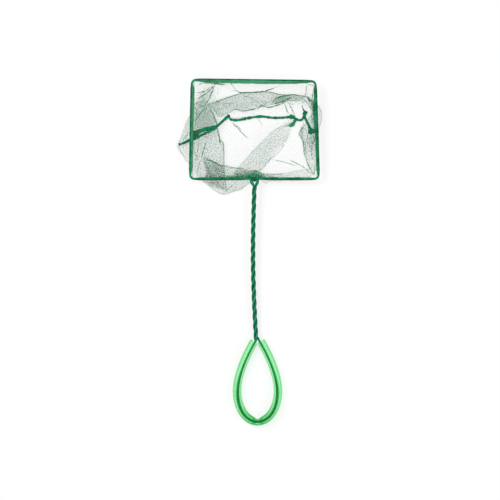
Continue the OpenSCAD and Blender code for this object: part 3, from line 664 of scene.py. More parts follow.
# thin pleats of the slack mesh, in millimetres from the net's own origin: how dark, half as
# wide, and the line they follow
creases = [
    (0.30, 0.4, [(5.1, 10.5), (17, 21.7), (31.3, 34.8), (39.7, 50.4), (43.5, 60)]),
    (0.30, 0.4, [(-23.6, 7.4), (-14, 19.3), (3.9, 38.4), (21.8, 56.3), (29.5, 60.8), (35, 62.2)]),
    (0.85, 0.6, [(-28.0, 104.6), (-21.2, 104.0), (-17.0, 102.0), (-6.9, 102.1), (3.9, 102.7),
                 (11.0, 103.5), (17.0, 105.1), (23.0, 107.1), (31.0, 110.9)]),
    (0.45, 0.5, [(11.0, 103.5), (21.8, 102.0), (30.1, 99.9), (34.9, 99.0), (43.2, 99.3)]),
    (0.60, 0.5, [(34.9, 99.0), (45.6, 99.5), (56.5, 98.3), (61.7, 98.1)]),
    (0.60, 0.6, [(20.0, 89.4), (24.2, 93.9), (30.1, 97.1), (36.1, 98.1), (44.4, 99.0)]),
    (0.60, 0.6, [(20.0, 89.1), (26.5, 89.7), (33.7, 92.1), (40.9, 95.1), (45.6, 98.1)]),
    (0.20, 2.4, [(21.8, 90.0), (28.9, 93.5), (36.1, 95.5), (44.4, 98.3)]),
    (0.60, 0.5, [(-32.5, 76.6), (-27.1, 79.6), (-22.4, 82.3), (-15.2, 81.4), (-6.9, 81.4),
                 (1.5, 82.6), (6.3, 84.7), (10.4, 89.7), (14.0, 92.7)]),
    (0.65, 0.5, [(6.3, 85.0), (12.2, 85.2), (18.2, 85.0), (25.3, 86.7), (33.7, 89.5),
                 (39.7, 92.7)]),
    (0.45, 0.5, [(13.4, 92.1), (12.8, 88.5), (8.6, 85.2)]),
    (0.50, 0.5, [(-52.5, 87.9), (-45.0, 90.7), (-37.9, 93.3), (-29.5, 96.6),
                 (-22.4, 99.0), (-17.0, 101.7)]),
    (0.45, 0.6, [(-54.5, 87.3), (-50.0, 79.0), (-45.0, 67.1), (-43.3, 62.3)]),
    (0.30, 0.5, [(-37.9, 87.9), (-30.7, 88.8), (-24.8, 89.5)]),
    (0.38, 0.5, [(-15.2, 99.3), (-6.9, 96.9), (-0.3, 95.7)]),
    (0.25, 0.5, [(-4.5, 94.5), (1.5, 92.7), (5.1, 90.3)]),
    (0.42, 0.5, [(-29.5, 114.4), (-26.0, 110.6), (-22.4, 105.8)]),
    (0.20, 0.5, [(-42.7, 108.7), (-43.3, 101.7), (-44.1, 99.3)]),
    (0.55, 0.9, [(-63.0, 114.1), (-53.8, 112.9), (-45.0, 112.5), (-30.7, 110.6)]),
    (0.40, 0.5, [(-68.2, 110.0), (-59.1, 113.1), (-47.5, 113.4)]),
    (0.50, 0.5, [(-69.4, 101.7), (-63.0, 102.4), (-56.4, 104.9), (-50.0, 110.0)]),
    (0.60, 0.6, [(-69.4, 92.1), (-63.0, 96.9), (-56.4, 101.7), (-50.0, 107.4), (-45.6, 111.9)]),
    (0.60, 0.6, [(-59.1, 87.3), (-55.1, 92.1), (-53.2, 95.7), (-50.0, 103.0), (-46.2, 110.6)]),
    (0.15, 2.4, [(-64.9, 89.1), (-59.1, 94.5), (-53.2, 102.4), (-47.5, 110.0)]),
    (0.35, 0.5, [(-63.0, 85.5), (-57.7, 88.5), (-53.8, 95.7)]),
    (0.35, 0.5, [(-70.0, 113.1), (-71.3, 98.1), (-70.9, 83.8)]),
    (0.45, 0.6, [(-55.8, 86.1), (-61.7, 80.2), (-67.5, 71.8), (-70.7, 65.9)]),
    (0.35, 0.6, [(-55.8, 86.7), (-57.1, 82.6), (-59.1, 76.6)]),
    (0.35, 0.5, [(-70.0, 86.1), (-67.9, 76.6), (-69.4, 67.1), (-70.0, 59.9)]),
    (0.50, 0.6, [(-57.1, 45.6), (-58.4, 38.4), (-61.0, 31.3), (-63.0, 24.7)]),
    (0.35, 0.5, [(-64.9, 46.8), (-66.2, 38.4), (-67.5, 31.3)]),
    (0.35, 0.5, [(-70.7, 45.6), (-71.3, 34.8), (-69.4, 26.5), (-70.7, 14.6)]),
    (0.40, 0.5, [(-63.0, 23.5), (-65.6, 15.8), (-68.2, 6.2)]),
    (0.30, 0.5, [(-67.1, 43.2), (-66.6, 36.0), (-67.9, 26.5), (-68.4, 19.3)]),
    (0.55, 0.6, [(-43.9, 59.3), (-42.1, 51.5), (-40.9, 45.6), (-40.3, 39.6)]),
    (0.50, 0.6, [(-62.2, 23.4), (-51.2, 21.5), (-45.0, 18.7), (-41.5, 16.3)]),
    (0.35, 0.5, [(-61.7, 22.9), (-56.4, 15.8), (-52.5, 9.2), (-50.0, 3.2)]),
    (0.50, 0.5, [(-28.9, 69.4), (-23.6, 63.5), (-18.8, 59.3), (-14.0, 53.9), (-9.3, 49.8),
                 (-6.3, 48.0)]),
    (0.30, 0.5, [(-27.1, 67.1), (-21.2, 63.5), (-15.2, 57.5)]),
    (0.20, 0.5, [(-3.3, 77.8), (1.5, 74.2), (6.3, 68.8), (9.8, 61.7)]),
    (0.38, 0.5, [(20.6, 22.9), (28.9, 21.7), (37.3, 19.3), (45.6, 16.9), (50.4, 14.9)]),
    (0.42, 0.5, [(39.7, 24.1), (46.8, 19.9), (55.3, 15.8), (61.7, 11.0), (68.0, 5.0)]),
    (0.28, 0.5, [(6.3, 5.6), (17.0, 6.2), (28.9, 5.6), (36.1, 7.2)]),
    (0.50, 0.5, [(36.1, 89.1), (37.9, 82.6), (40.9, 76.6)]),
    (0.50, 0.5, [(40.9, 89.7), (44.4, 82.6), (47.4, 75.4), (49.8, 72.4)]),
    (0.30, 0.5, [(38.5, 89.7), (44.4, 88.8), (46.2, 89.1)]),
    (0.60, 0.7, [(56.5, 87.9), (57.8, 82.6), (60.6, 78.7)]),
    (0.42, 0.5, [(61.7, 110.6), (61.0, 103.0), (60.1, 98.1)]),
    (0.35, 0.5, [(61.7, 110.6), (66.8, 111.3), (70.4, 108.7)]),
    (0.50, 0.6, [(60.4, 98.1), (64.2, 94.5), (68.6, 89.7), (70.4, 83.8)]),
    (0.50, 0.5, [(51.6, 95.7), (57.8, 93.9), (63.0, 89.7), (66.8, 83.8), (69.2, 81.4)]),
    (0.30, 0.5, [(45.6, 98.1), (50.4, 93.3), (56.5, 92.1), (60.4, 87.3)]),
    (0.45, 0.6, [(69.8, 109.4), (68.6, 98.1), (68.0, 86.1), (69.8, 76.6), (68.6, 67.1)]),
    (0.12, 2.0, [(70.4, 106.8), (68.6, 86.1), (69.2, 67.1), (70.4, 57.5)]),
    (0.40, 0.5, [(66.8, 77.8), (68.0, 71.8), (70.4, 62.3)]),
    (0.50, 0.6, [(58.5, 71.8), (57.2, 62.3), (54.0, 56.3), (53.0, 52.7), (56.5, 46.8),
                 (58.2, 39.6), (59.1, 32.5), (59.3, 26.5)]),
    (0.14, 1.8, [(57.8, 67.1), (56.5, 56.3), (58.5, 48.0)]),
    (0.42, 0.5, [(59.1, 50.4), (60.1, 40.8), (61.0, 31.3), (61.7, 26.5)]),
    (0.45, 0.5, [(60.4, 26.5), (62.3, 19.3), (66.8, 11.0), (70.4, 3.8)]),
    (0.42, 0.5, [(64.2, 57.5), (62.3, 46.8), (63.0, 38.4)]),
    (0.15, 2.2, [(68.6, 55.1), (66.8, 46.8), (66.1, 36.0)]),
    (0.60, 0.7, [(69.2, 51.5), (70.7, 45.6), (68.0, 39.6)]),
    (0.30, 0.5, [(68.6, 38.4), (67.4, 30.1), (69.2, 21.7)]),
    (0.40, 0.5, [(71.6, 19.3), (71.0, 9.8), (70.4, 3.8)]),
    (0.22, 0.5, [(-36.7, -2.1), (-36.1, -9.9)]),
    (0.30, 0.5, [(-21.2, -3.3), (-26.0, -7.5), (-32.5, -13.5), (-34.9, -17.9)]),
    (0.30, 0.6, [(-85.0, 45.0), (-81.4, 49.8), (-77.9, 56.3)]),
]
# places where the slack gathers: middle, half lengths and how much thicker the mesh lies, in
# millimetres from the net's own origin
gathers = [
    (-59, 71, 17, 16, 2.9), (-43, 11, 8, 9, 1.3), (-24, -13, 12, 5, 0.9), (33, 95, 11, 3.5, 1.6),
    (-3, 4, 12, 4, 1.2), (70, 55, 3.5, 42, 0.9), (68, 35, 4, 22, 0.5), (-66, 106, 11, 7, -0.45),
    (64, 92, 7, 9, 0.9), (-12, 3.5, 45, 1.8, 2.0), (-22, 90, 34, 9, 0.4), (-80, 48, 9, 9, 0.3),
    (-60, 95, 8, 8, 0.6), (50, 94, 12, 4, 0.5), (-66, 90, 8, 6, -0.9), (69, 22, 5, 14, -1.0),
]
# places where it is drawn smooth: middle, half lengths and by how much
calms = [(-64, 106, 14, 11, 4), (-30, 100, 22, 8, 0.6)]
bag = {
    "flatWidth": 546 * mm,
    "flatDepth": 95 * mm,
    "across": 16,
    "steps": (12, 20, 24, 20, 22),
    "hemRadius": 1.75 * mm,
    "lipDrop": 0.95 * mm,
    "underLip": 0.4,
    "hangShare": 0.4,
    "hangDrop": 0.9,
    "seamHeight": 0.4,
    "gatherReach": 6,
    "pattern": (0.31, 0.17),
    "patternSlant": 0.6,
}
# each hem's lip where the mesh meets it: its length in millimetres and its slope in degrees
lips = {"far": (2.2, 35), "left": (1.0, 20), "right": (0.9, 20), "near": (1.8, 60)}
# the far hem's lip narrows to this share of its length over these lengths at its two ends
farEnds = {"left": 45 * mm, "right": 30 * mm, "least": 0.4}


def seamAt(x):
    for (x0, y0), (x1, y1) in zip(seamRoute, seamRoute[1:]):
        if x1 <= x <= x0:
            return netPoint(x, mix(y0, y1, (x - x0) / (x1 - x0)), bag["seamHeight"])
    return netPoint(*seamRoute[-1], bag["seamHeight"])


# the middle of a rail at a place along it, in millimetres, and the way into the window there
def railPoint(side, along):
    farLow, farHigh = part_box("far_rail")
    if side == "near":
        return Vector((originX + along * mm, originY, railHeight)), Vector((0, 1, 0))
    if side == "far":
        x = originX + along * mm
        k = (x - farLow.x) / (farHigh.x - farLow.x)
        y = mix(farHigh.y, farLow.y, k) - mix(1, -1, k) * wire["radius"]
        z = railHeight + (y - originY) * math.tan(tilt)
        return Vector((x, y, z)), Vector((0, -1, 0))
    low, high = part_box(side + "_rail")
    y = originY + along * mm
    k = (y - low.y) / (high.y - low.y)
    radius = wire["radius"]
    if side == "left":
        x = mix(low.x + radius, high.x - radius, k)
        inward = Vector((1, 0, 0))
    else:
        x = mix(high.x - radius, low.x + radius, k)
        inward = Vector((-1, 0, 0))
    return Vector((x, y, railHeight + (y - originY) * math.tan(tilt))), inward


def lipShare(side, x):
    if side != "far":
        return 1
    low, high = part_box("hem_far")
    return mix(farEnds["least"], 1, min(ease((x - low.x) / farEnds["left"]),
                                        ease((high.x - x) / farEnds["right"])))


def mouthPoint(side, along):
    centre, inward = railPoint(side, along)
    lip, angle = lips[side]
    slope = math.radians(angle)
    reach = bag["hemRadius"] + (lip * lipShare(side, centre.x) - bag["underLip"]) * mm
    under = bag["lipDrop"]
    out = centre + inward * (reach * math.cos(slope) - under * math.sin(slope))
    out.z = centre.z - reach * math.sin(slope) - under * math.cos(slope)
    return out


def bagRow(side, along, inner, outer, floor, seamX, kind):
    heights, layers, folds = rowKinds[kind]
    mouth = mouthPoint(side, along)
    fold = netPoint(*inner, heights[0])
    hang = mouth.lerp(fold, bag["hangShare"])
    hang.z = mix(mouth.z, fold.z, bag["hangDrop"])
    places = [mouth, hang, fold, netPoint(*outer, heights[1]), netPoint(*floor, heights[2]),
              seamAt(seamX)]
    return places, layers, folds


def blend(lists, i, k):
    a, b = lists[i], lists[(i + 1) % len(lists)]
    return [mix(u, v, k) for u, v in zip(a, b)]


def bagColumns():
    rows = [bagRow(*row) for row in bagRows]
    places, layers, folds = zip(*rows)
    count = len(rows)
    columns = []
    for i in range(count):
        a, b, c, d = (places[(i + j) % count] for j in (-1, 0, 1, 2))
        for s in range(bag["across"]):
            k = s / bag["across"]
            stations = [through(*points, k) for points in zip(a, b, c, d)]
            columns.append((stations, blend(layers, i, k), blend(folds, i, k)))
    return columns


def gatherAt(point, places):
    x, y = (point.x - originX) / mm, (point.y - originY) / mm
    gain = 1
    for atX, atY, halfX, halfY, more in places:
        away = ((x - atX) / halfX) ** 2 + ((y - atY) / halfY) ** 2
        if away < bag["gatherReach"]:
            gain += more * math.exp(-away)
    return gain


# in the settings an unevenness is given by its size, in millimetres where it moves a point, and
# by how fine it is
def uneven(point, size, fine):
    return size * noise.noise(point * fine)


def waves(point, size, fine):
    return noise.noise_vector(point * fine) * size * mm


# the soft waves of the mesh, which fade out at the mouth and at the seam
crumples = {
    "mouthFade": 0.08,
    "seamFade": 0.06,
    "wide": (1.2, 95),
    "fine": (0.5, 260),
    "upShare": 0.3,
    "least": 0.25 * mm,
}


def crumple(point, share, slack):
    fade = (ease(share / crumples["mouthFade"]) * ease((1 - share) / crumples["seamFade"])
            * slack / gatherAt(point, calms))
    flat = Vector((point.x, point.y, 0))
    wave = waves(flat, *crumples["wide"]) + waves(flat, *crumples["fine"])
    moved = point + Vector((wave.x, wave.y, wave.z * crumples["upShare"])) * fade
    moved.z = max(moved.z, crumples["least"])
    return moved


# the mesh as a see-through finish: threads between round cells, thicker in patches and in layers,
# and frayed lines where it is creased
weave = {
    "shader": {"Roughness": 0.6, "Specular IOR Level": 0.1},
    "cell": 1.0 * mm,
    "irregular": 0.6,
    "thread": 0.075,
    "patches": (640, 2, 0.6),
    "patchGain": (6.5, -2.3),
    "patchLeast": 0.35,
    "frayed": (900, 2),
    "frayedGain": (0.9, 0.5),
    "mottled": 0.6,
    "creased": 0.8,
    "colours": [(0.15, (0.03, 0.14, 0.070)), (0.45, (0.10, 0.30, 0.17)),
                (0.75, (0.012, 0.25, 0.09)), (1.0, (0.022, 0.115, 0.055))],
}


def netMaterial():
    material, tree, shader = newMaterial("netMesh", weave)
    uv = addNode(tree, "ShaderNodeUVMap", uv_map="cloth").outputs["UV"]
    cells = addNode(tree, "ShaderNodeTexVoronoi", feature="DISTANCE_TO_EDGE",
                    voronoi_dimensions="2D")
    cells.inputs["Scale"].default_value = 1 / weave["cell"]
    cells.inputs["Randomness"].default_value = weave["irregular"]
    tree.links.new(uv, cells.inputs["Vector"])
    thread = mathNode(tree, "LESS_THAN", cells.outputs["Distance"], weave["thread"])
    patches = noiseNode(tree, objectCoordinates(tree), *weave["patches"], "2D")
    patches = mathNode(tree, "MULTIPLY_ADD", patches, *weave["patchGain"])
    patches = mathNode(tree, "MAXIMUM", patches, weave["patchLeast"])
    layer = attributeFactor(tree, "layer")
    cover = mathNode(tree, "MULTIPLY", mathNode(tree, "MULTIPLY", thread, patches), layer)
    crease = attributeFactor(tree, "crease")
    frayed = noiseNode(tree, uv, *weave["frayed"])
    torn = mathNode(tree, "MULTIPLY_ADD", frayed, *weave["frayedGain"])
    total = mathNode(tree, "ADD", cover, mathNode(tree, "MULTIPLY", crease, torn), clamped=True)
    tree.links.new(total, shader.inputs["Alpha"])
    tint = mathNode(tree, "MULTIPLY", frayed, weave["mottled"])
    tint = mathNode(tree, "MULTIPLY_ADD", crease, weave["creased"], tint, clamped=True)
    tree.links.new(colourRamp(tree, tint, weave["colours"]), shader.inputs["Base Color"])
    return material


def columnLevels():
    levels = []
    for strip, count in enumerate(bag["steps"]):
        levels += [(strip, (1 - math.cos(math.pi * s / count)) / 2) for s in range(count)]
    return levels + [(len(bag["steps"]) - 1, 1.0)]


netMesh = netMaterial()


def netPiece(name, points, faces, layer, crease, shifts):
    # one layer of mesh, with how thick and how dark it lies at each point; shifts moves the
    # pattern of each face a little, so that layers that lie together don't show the same one
    piece = meshPiece(name, points, faces, layer=layer, crease=crease)
    uv = piece.data.uv_layers.new(name="cloth")
    aside, along = bag["pattern"]
    for face, shift in zip(piece.data.polygons, shifts):
        for corner in face.loop_indices:
            place = points[piece.data.loops[corner].vertex_index]
            slant = bag["patternSlant"] * place.z
            uv.data[corner].uv = (place.x + slant + aside * shift, place.y + slant + along * shift)
    bpy.ops.object.shade_smooth()
    piece.data.materials.append(netMesh)
    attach(piece, "root")
    return piece


# how dark the mesh is along a line, and within what width: at its folds, where it is sewn under
# the hem and at the seam
edges = {
    "even": 0.85,
    "broken": (0.5, 120),
    "foldWidth": 0.7 * mm,
    "mouth": (0.75, 1.2 * mm),
    "seam": (0.3, 1.2 * mm),
}


def darkAt(point, line, dark, width):
    return dark * math.exp(-((point - line).length / width) ** 2)


def makeBag():
    columns, levels = bagColumns(), columnLevels()
    around, deep = len(columns), len(levels)
    points, layer, crease = [], [], []
    for stations, layers, folds in columns:
        mouth, _, inner, outer, _, seam = stations
        for j, (strip, k) in enumerate(levels):
            a, b, c = stations[max(0, strip - 1)], stations[strip], stations[strip + 1]
            d = stations[min(len(stations) - 1, strip + 2)]
            point = through(a, b, c, d, k)
            moved = crumple(point, j / (deep - 1), folds[2])
            points.append(moved)
            dark = max(darkAt(point, inner, folds[0], edges["foldWidth"]),
                       darkAt(point, outer, folds[1], edges["foldWidth"]),
                       darkAt(point, mouth, *edges["mouth"]), darkAt(point, seam, *edges["seam"]))
            crease.append((edges["even"] + uneven(moved, *edges["broken"])) * dark)
            layer.append(mix(layers[strip], layers[strip + 1], k) * gatherAt(point, gathers))
    faces, shifts = [], []
    for i in range(around):
        for j in range(deep - 1):
            a, b = i * deep + j, (i + 1) % around * deep + j
            faces.append((a, a + 1, b + 1, b))
            shifts.append(levels[j][0])
    piece = netPiece("netBag", points, faces, layer, crease, shifts)
    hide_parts("net_bag")
    return piece


netBag = makeBag()
print("bag done:", len(netBag.data.polygons), "faces")


# narrow tucks along the pleats, lying on whatever part of the bag is uppermost there
tuck = {
    "dark": 1.5,
    "border": 0.55,
    "wide": 1.2,
    "height": 0.45 * mm,
    "lift": 0.1 * mm,
    "jump": 1.6 * mm,
    "from": 60 * mm,
    "about": 1 * mm,
    "steps": 10,
    "wander": (0.5, 260),
    "uneven": (0.5, 330),
    "taper": 0.25,
    "endWide": 0.4,
    "endDark": 0.25,
    "layer": 0.3,
    "shift": 7,
}


def topOfBag(surface, place):
    # the highest point of the bag within a short way of this place, or None beside the bag
    found = []
    for across, along in ((0, 0), (1, 0), (-1, 0), (0, 1), (0, -1)):
        above = Vector((place.x + across * tuck["about"], place.y + along * tuck["about"],
                        tuck["from"]))
        hit = surface.ray_cast(above, Vector((0, 0, -1)))[0]
        if hit:
            found.append(hit.z)
    return max(found) if found else None


def makeTucks():
    surface = BVHTree.FromObject(netBag, bpy.context.evaluated_depsgraph_get())
    points, faces, layer, crease = [], [], [], []
    wander, wanderFine = tuck["wander"]
    section = ((-1, 0, tuck["border"]), (0, 1, 1), (1, 0, tuck["border"]))
    row = len(section)
    for strength, half, line in creases:
        route = smoothRoute([netPoint(x, y, 0) for x, y in line], tuck["steps"])
        last = len(route) - 1
        before = None
        for i, place in enumerate(route):
            heading = (route[min(last, i + 1)] - route[max(0, i - 1)]).normalized()
            aside = Vector((heading.y, -heading.x, 0))
            place = place + aside * noise.noise(place * wanderFine) * wander * mm
            level = topOfBag(surface, place)
            if level is None:
                before = None
                continue
            taper = ease(i / last / tuck["taper"]) * ease((1 - i / last) / tuck["taper"])
            rough = 1 + uneven(place, *tuck["uneven"])
            wide = half * tuck["wide"] * mm * mix(tuck["endWide"], 1, taper) * rough
            dim = mix(tuck["endDark"], 1, taper)
            for side, rise, dark in section:
                point = place + aside * side * wide
                point.z = level + tuck["lift"] + rise * tuck["height"] * taper
                points.append(point)
                crease.append(tuck["dark"] * strength * dark * rough * dim)
                layer.append(tuck["layer"])
            # a tuck doesn't run on across a step from one fold of the bag down to the next
            if before is not None and abs(level - before) < tuck["jump"]:
                first = len(points) - 2 * row
                faces += [(c, c + row, c + row + 1, c + 1) for c in range(first, first + row - 1)]
            before = level
    piece = netPiece("netTucks", points, faces, layer, crease, [tuck["shift"]] * len(faces))
    bpy.ops.object.mode_set(mode="EDIT")
    bpy.ops.mesh.select_all(action="SELECT")
    bpy.ops.mesh.delete_loose()
    bpy.ops.object.mode_set(mode="OBJECT")
    return piece


netTucks = makeTucks()
print("tucks done:", len(netTucks.data.polygons), "faces")


# the seam's binding, a folded tape that runs to and fro near the left rail, with its knots
binding = {
    "radius": 1.5 * mm,
    "flat": 0.62,
    "flatAt": 1.0,
    "roundness": 4,
    "steps": 10,
    "lumps": (0.4, 420),
    "bumps": (0.55, 1300),
    "route": [
        (73.5, 56, 2.2), (70, 56.5, 2.0), (66.5, 58.5, 2.2), (64, 64, 1.9), (61.3, 69.5, 1.8),
        (59.6, 74, 2.2), (60.3, 78.5, 3.0), (58.6, 77, 2.2), (58.2, 73, 1.8), (55.5, 70, 1.8),
        (52, 69.8, 1.8), (47.5, 72, 1.8), (44, 74, 1.8), (38, 73, 1.8), (31, 72.5, 1.8),
        (20, 72.6, 1.8), (7.5, 74, 1.8), (-8, 72, 1.8), (-19, 69.7, 1.8), (-27, 70.2, 1.8),
        (-29.5, 72.5, 1.9), (-30.5, 75, 2.2), (-32, 73.5, 2.2), (-38, 68, 3.6), (-43.5, 63, 5.6),
        (-50, 61.1, 5.6), (-59.5, 59.3, 5.6), (-68, 56.6, 5.6), (-75.5, 53, 5.7),
        (-70, 53.3, 5.8), (-62, 56.2, 5.8), (-52, 59.5, 5.8), (-45.8, 61.3, 6.0),
        (-46, 59.6, 6.2), (-54, 55.8, 5.9), (-63, 51.4, 5.8), (-75.5, 44.5, 5.8),
        (-71, 48.2, 6.0), (-66.5, 51.2, 6.2), (-71.5, 50.5, 6.3), (-79, 44.8, 5.0),
        (-89.4, 40.4, 4.0)],
}


# the finish of tapes and of mesh gathered so tightly that it looks solid
tapeLook = {
    "shader": {"Roughness": 0.75, "Specular IOR Level": 0.1},
    "weave": (1400, 3),
    "weaveShare": 0.4,
    "patches": (300, 2),
    "patchShare": 0.7,
    "lip": None,
    "stops": (0.35, 0.7),
    "bump": 0.3 * mm,
}


def tapeMaterial(name, look, *colours):
    material, tree, shader = newMaterial(name, look)
    place = objectCoordinates(tree)
    threads = noiseNode(tree, place, *look["weave"])
    patches = noiseNode(tree, place, *look["patches"])
    shade = mathNode(tree, "MULTIPLY", threads, look["weaveShare"])
    if look["lip"]:
        paler = mathNode(tree, "MULTIPLY_ADD", attributeFactor(tree, "lip"), *look["lip"])
        shade = mathNode(tree, "ADD", shade, paler)
    shade = mathNode(tree, "MULTIPLY_ADD", patches, look["patchShare"], shade)
    colour = colourRamp(tree, shade, list(zip(look["stops"], colours)))
    tree.links.new(colour, shader.inputs["Base Color"])
    tree.links.new(bumpNode(tree, threads, look["bump"]), shader.inputs["Normal"])
    return material


bindingTape = tapeMaterial("bindingTape", tapeLook, (0.001, 0.060, 0.022), (0.010, 0.26, 0.11))
tabNet = tapeMaterial("gatheredNet", tapeLook, (0.006, 0.16, 0.065), (0.04, 0.34, 0.15))
bunchNet = tapeMaterial("bunchedNet", tapeLook, (0.001, 0.045, 0.018), (0.012, 0.17, 0.075))


def flatten(piece, share, height):
    # presses a soft piece flat: each point keeps the same share of its way from this height
    for vertex in piece.data.vertices:
        vertex.co.z = height + (vertex.co.z - height) * share


def makeBinding():
    flat, middle = binding["flat"], binding["flatAt"]
    route = smoothRoute([netPoint(x, y, middle + (z - middle) / flat)
                         for x, y, z in binding["route"]], binding["steps"])
    radii = [1 + uneven(p, *binding["lumps"]) + uneven(p, *binding["bumps"]) for p in route]
    tape = tubeAlong("seamBinding", route, binding["radius"], binding["roundness"], radii=radii)
    flatten(tape, flat, middle * mm)
    tape.data.materials.append(bindingTape)
    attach(tape, "root")
    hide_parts("seam_binding")
    return tape


# rolls of gathered mesh: the corner of the bag that the tape has gathered, like half a bow, and
# the part of the bunch that lies on the wires where they turn out to the handle
rolls = {
    "seamTab": {
        "route": [(48.4, 70.5, 2.0), (47.6, 68.2, 2.2), (46, 65.6, 2.2), (44, 63.6, 1.9),
                  (41.4, 62.4, 1.4)],
        "steps": 10,
        "radius": 1.7 * mm,
        "ends": 0.7,
        "middle": 0.6,
        "lumps": (0.4, 700),
        "flat": 0.6,
    },
    "throatGather": {
        "route": [(-9, 0.5, 9.7), (-5, 0.2, 10.4), (0, -1.1, 10.5), (5, 0.2, 10.4),
                  (10, 0.5, 9.7)],
        "steps": 12,
        "radius": 1.7 * mm,
        "ends": 0.6,
        "middle": 0.5,
        "lumps": (0.5, 620),
        "flat": None,
    },
}


def makeRoll(name, material):
    roll = rolls[name]
    route = smoothRoute([netPoint(*p) for p in roll["route"]], roll["steps"])
    radii = [(roll["ends"] + roll["middle"] * math.sin(math.pi * i / len(route)))
             * (1 + uneven(p, *roll["lumps"])) for i, p in enumerate(route)]
    piece = tubeAlong(name, route, roll["radius"], binding["roundness"], radii=radii)
    if roll["flat"]:
        flatten(piece, roll["flat"], binding["flatAt"] * mm)
    piece.data.materials.append(material)
    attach(piece, "root")
    return piece


# the mesh bunched on the near rail, in millimetres: its edge says how far it reaches into the
# window along the rail, and pairs of values hold at the rail and at that edge, or at the bunch's
# ends and in its middle
bunch = {
    "edge": [(-52, 2.6), (-36, 3.8), (-29, 5.0), (-15, 6.2), (-9, 8.0), (-4, 10.0), (1, 10.6),
             (5, 9.2), (9, 7.2), (13, 4.8), (18, 3.8), (24, 2.8), (30, 2.4)],
    "across": 150,
    "deep": 14,
    "base": 0.6,
    "high": 9.4,
    "front": 5.4,
    "low": 5.0,
    "wavy": 1.4,
    "wavyFine": 0.45,
    "wavyRow": 3,
    "middle": 0.5,
    "middleHalf": 9,
    "rough": (0.7, 420),
    "speckLevel": 0.5,
    "specks": (2.4, 380),
    "fuzz": (0.9, 0.35),
    "fuzzMiddle": (0.8, 1),
    "solid": 1.0,
    "solidFrom": -38,
    "solidIn": 8,
    "solidTo": 14,
    "solidOut": 5,
    "solidDeep": 0.8,
    "solidFade": 0.5,
    "mottleLevel": 0.6,
    "mottled": (1.5, 460),
    "mottleLeast": 0.15,
    "mottleMost": 1.2,
    "layers": (1.1, 0.4),
    "layersMiddle": (0.7, 1.3),
    "shift": 3,
}


def bunchReach(x):
    for (x0, y0), (x1, y1) in zip(bunch["edge"], bunch["edge"][1:]):
        if x <= x1:
            return mix(y0, y1, (x - x0) / (x1 - x0))
    return bunch["edge"][-1][1]


def solidAt(x, k, point):
    # sewn flat and dense close to the rail
    solid = bunch["solid"] * ease((x - bunch["solidFrom"]) / bunch["solidIn"])
    solid *= ease((bunch["solidTo"] - x) / bunch["solidOut"])
    solid *= ease((bunch["solidDeep"] - k) / bunch["solidFade"])
    mottle = bunch["mottleLevel"] + uneven(point, *bunch["mottled"])
    return solid * min(bunch["mottleMost"], max(bunch["mottleLeast"], mottle))


def makeBunch():
    # a lobe of mesh that runs out from the rail and back under itself
    across, deep = bunch["across"], bunch["deep"]
    row = 2 * deep + 1
    points, layer, crease = [], [], []
    for i in range(across + 1):
        x = mix(bunch["edge"][0][0], bunch["edge"][-1][0], i / across)
        wavy = noise.noise(Vector((x * bunch["wavyFine"], bunch["wavyRow"], 0)))
        reach = bunchReach(x) + bunch["wavy"] * wavy
        middle = math.exp(-((x - bunch["middle"]) / bunch["middleHalf"]) ** 2)
        for j in range(row):
            k = 1 - abs(j - deep) / deep
            edge = bunch["high"] if j < deep else bunch["low"]
            point = netPoint(x, mix(bunch["base"], reach, k), mix(edge, bunch["front"], k))
            point += waves(point, *bunch["rough"]) * k
            points.append(point)
            speck = bunch["speckLevel"] + uneven(point, *bunch["specks"])
            fuzz = clamp(speck) * mix(*bunch["fuzz"], k) * mix(*bunch["fuzzMiddle"], middle)
            crease.append(max(fuzz, solidAt(x, k, point)))
            layer.append(mix(*bunch["layers"], k) * mix(*bunch["layersMiddle"], middle))
    faces = gridFaces(across, row)
    return netPiece("throatBunch", points, faces, layer, crease, [bunch["shift"]] * len(faces))


# the pale end of the gathered corner, in millimetres from the net's own origin
wing = {
    "from": (45, 64.2),
    "to": (33, 61.6),
    "arch": 0.8,
    "steps": 24,
    "sides": 3,
    "slant": 0.2,
    "half": (2.6, 0.5),
    "height": 2.4,
    "fall": 0.9,
    "droop": 0.8,
    "rough": (0.3, 500),
    "dark": (0.5, 0.12),
    "border": 0.25,
    "layer": 0.9,
    "shift": 5,
}


def makeWing():
    points, layer, crease = [], [], []
    steps, sides = wing["steps"], wing["sides"]
    row = 2 * sides + 1
    for i in range(steps + 1):
        k = i / steps
        x, y = (mix(a, b, k) for a, b in zip(wing["from"], wing["to"]))
        centre = netPoint(x, y + wing["arch"] * math.sin(math.pi * k), 0)
        for j in range(row):
            side = j / sides - 1
            point = centre + Vector((wing["slant"] * side, side, 0)) * mix(*wing["half"], k) * mm
            point.z = (wing["height"] - wing["fall"] * k - wing["droop"] * side * side) * mm
            point += waves(point, *wing["rough"])
            points.append(point)
            border = wing["border"] if abs(side) == 1 else 0
            crease.append(mix(*wing["dark"], ease(k)) + border)
            layer.append(wing["layer"])
    faces = gridFaces(steps, row)
    return netPiece("seamWing", points, faces, layer, crease, [wing["shift"]] * len(faces))


# knots: a tape wound round itself, as a closed curve that goes through its own loop twice, in
# shares of the knot's size, and each knot's place and size in millimetres
knot = {
    "steps": 72,
    "half": 0.5,
    "round": 0.62,
    "lobes": 0.30,
    "rise": 0.14,
    "tape": 0.23,
    "roundness": 3,
}
knotPlaces = {
    "largeKnot": (67.2, 56.7, 3.1, 6.4),
    "smallKnot": (43.9, 73.6, 2.3, 4.6),
    "endKnot": (60.2, 78.6, 2.3, 3.9),
}


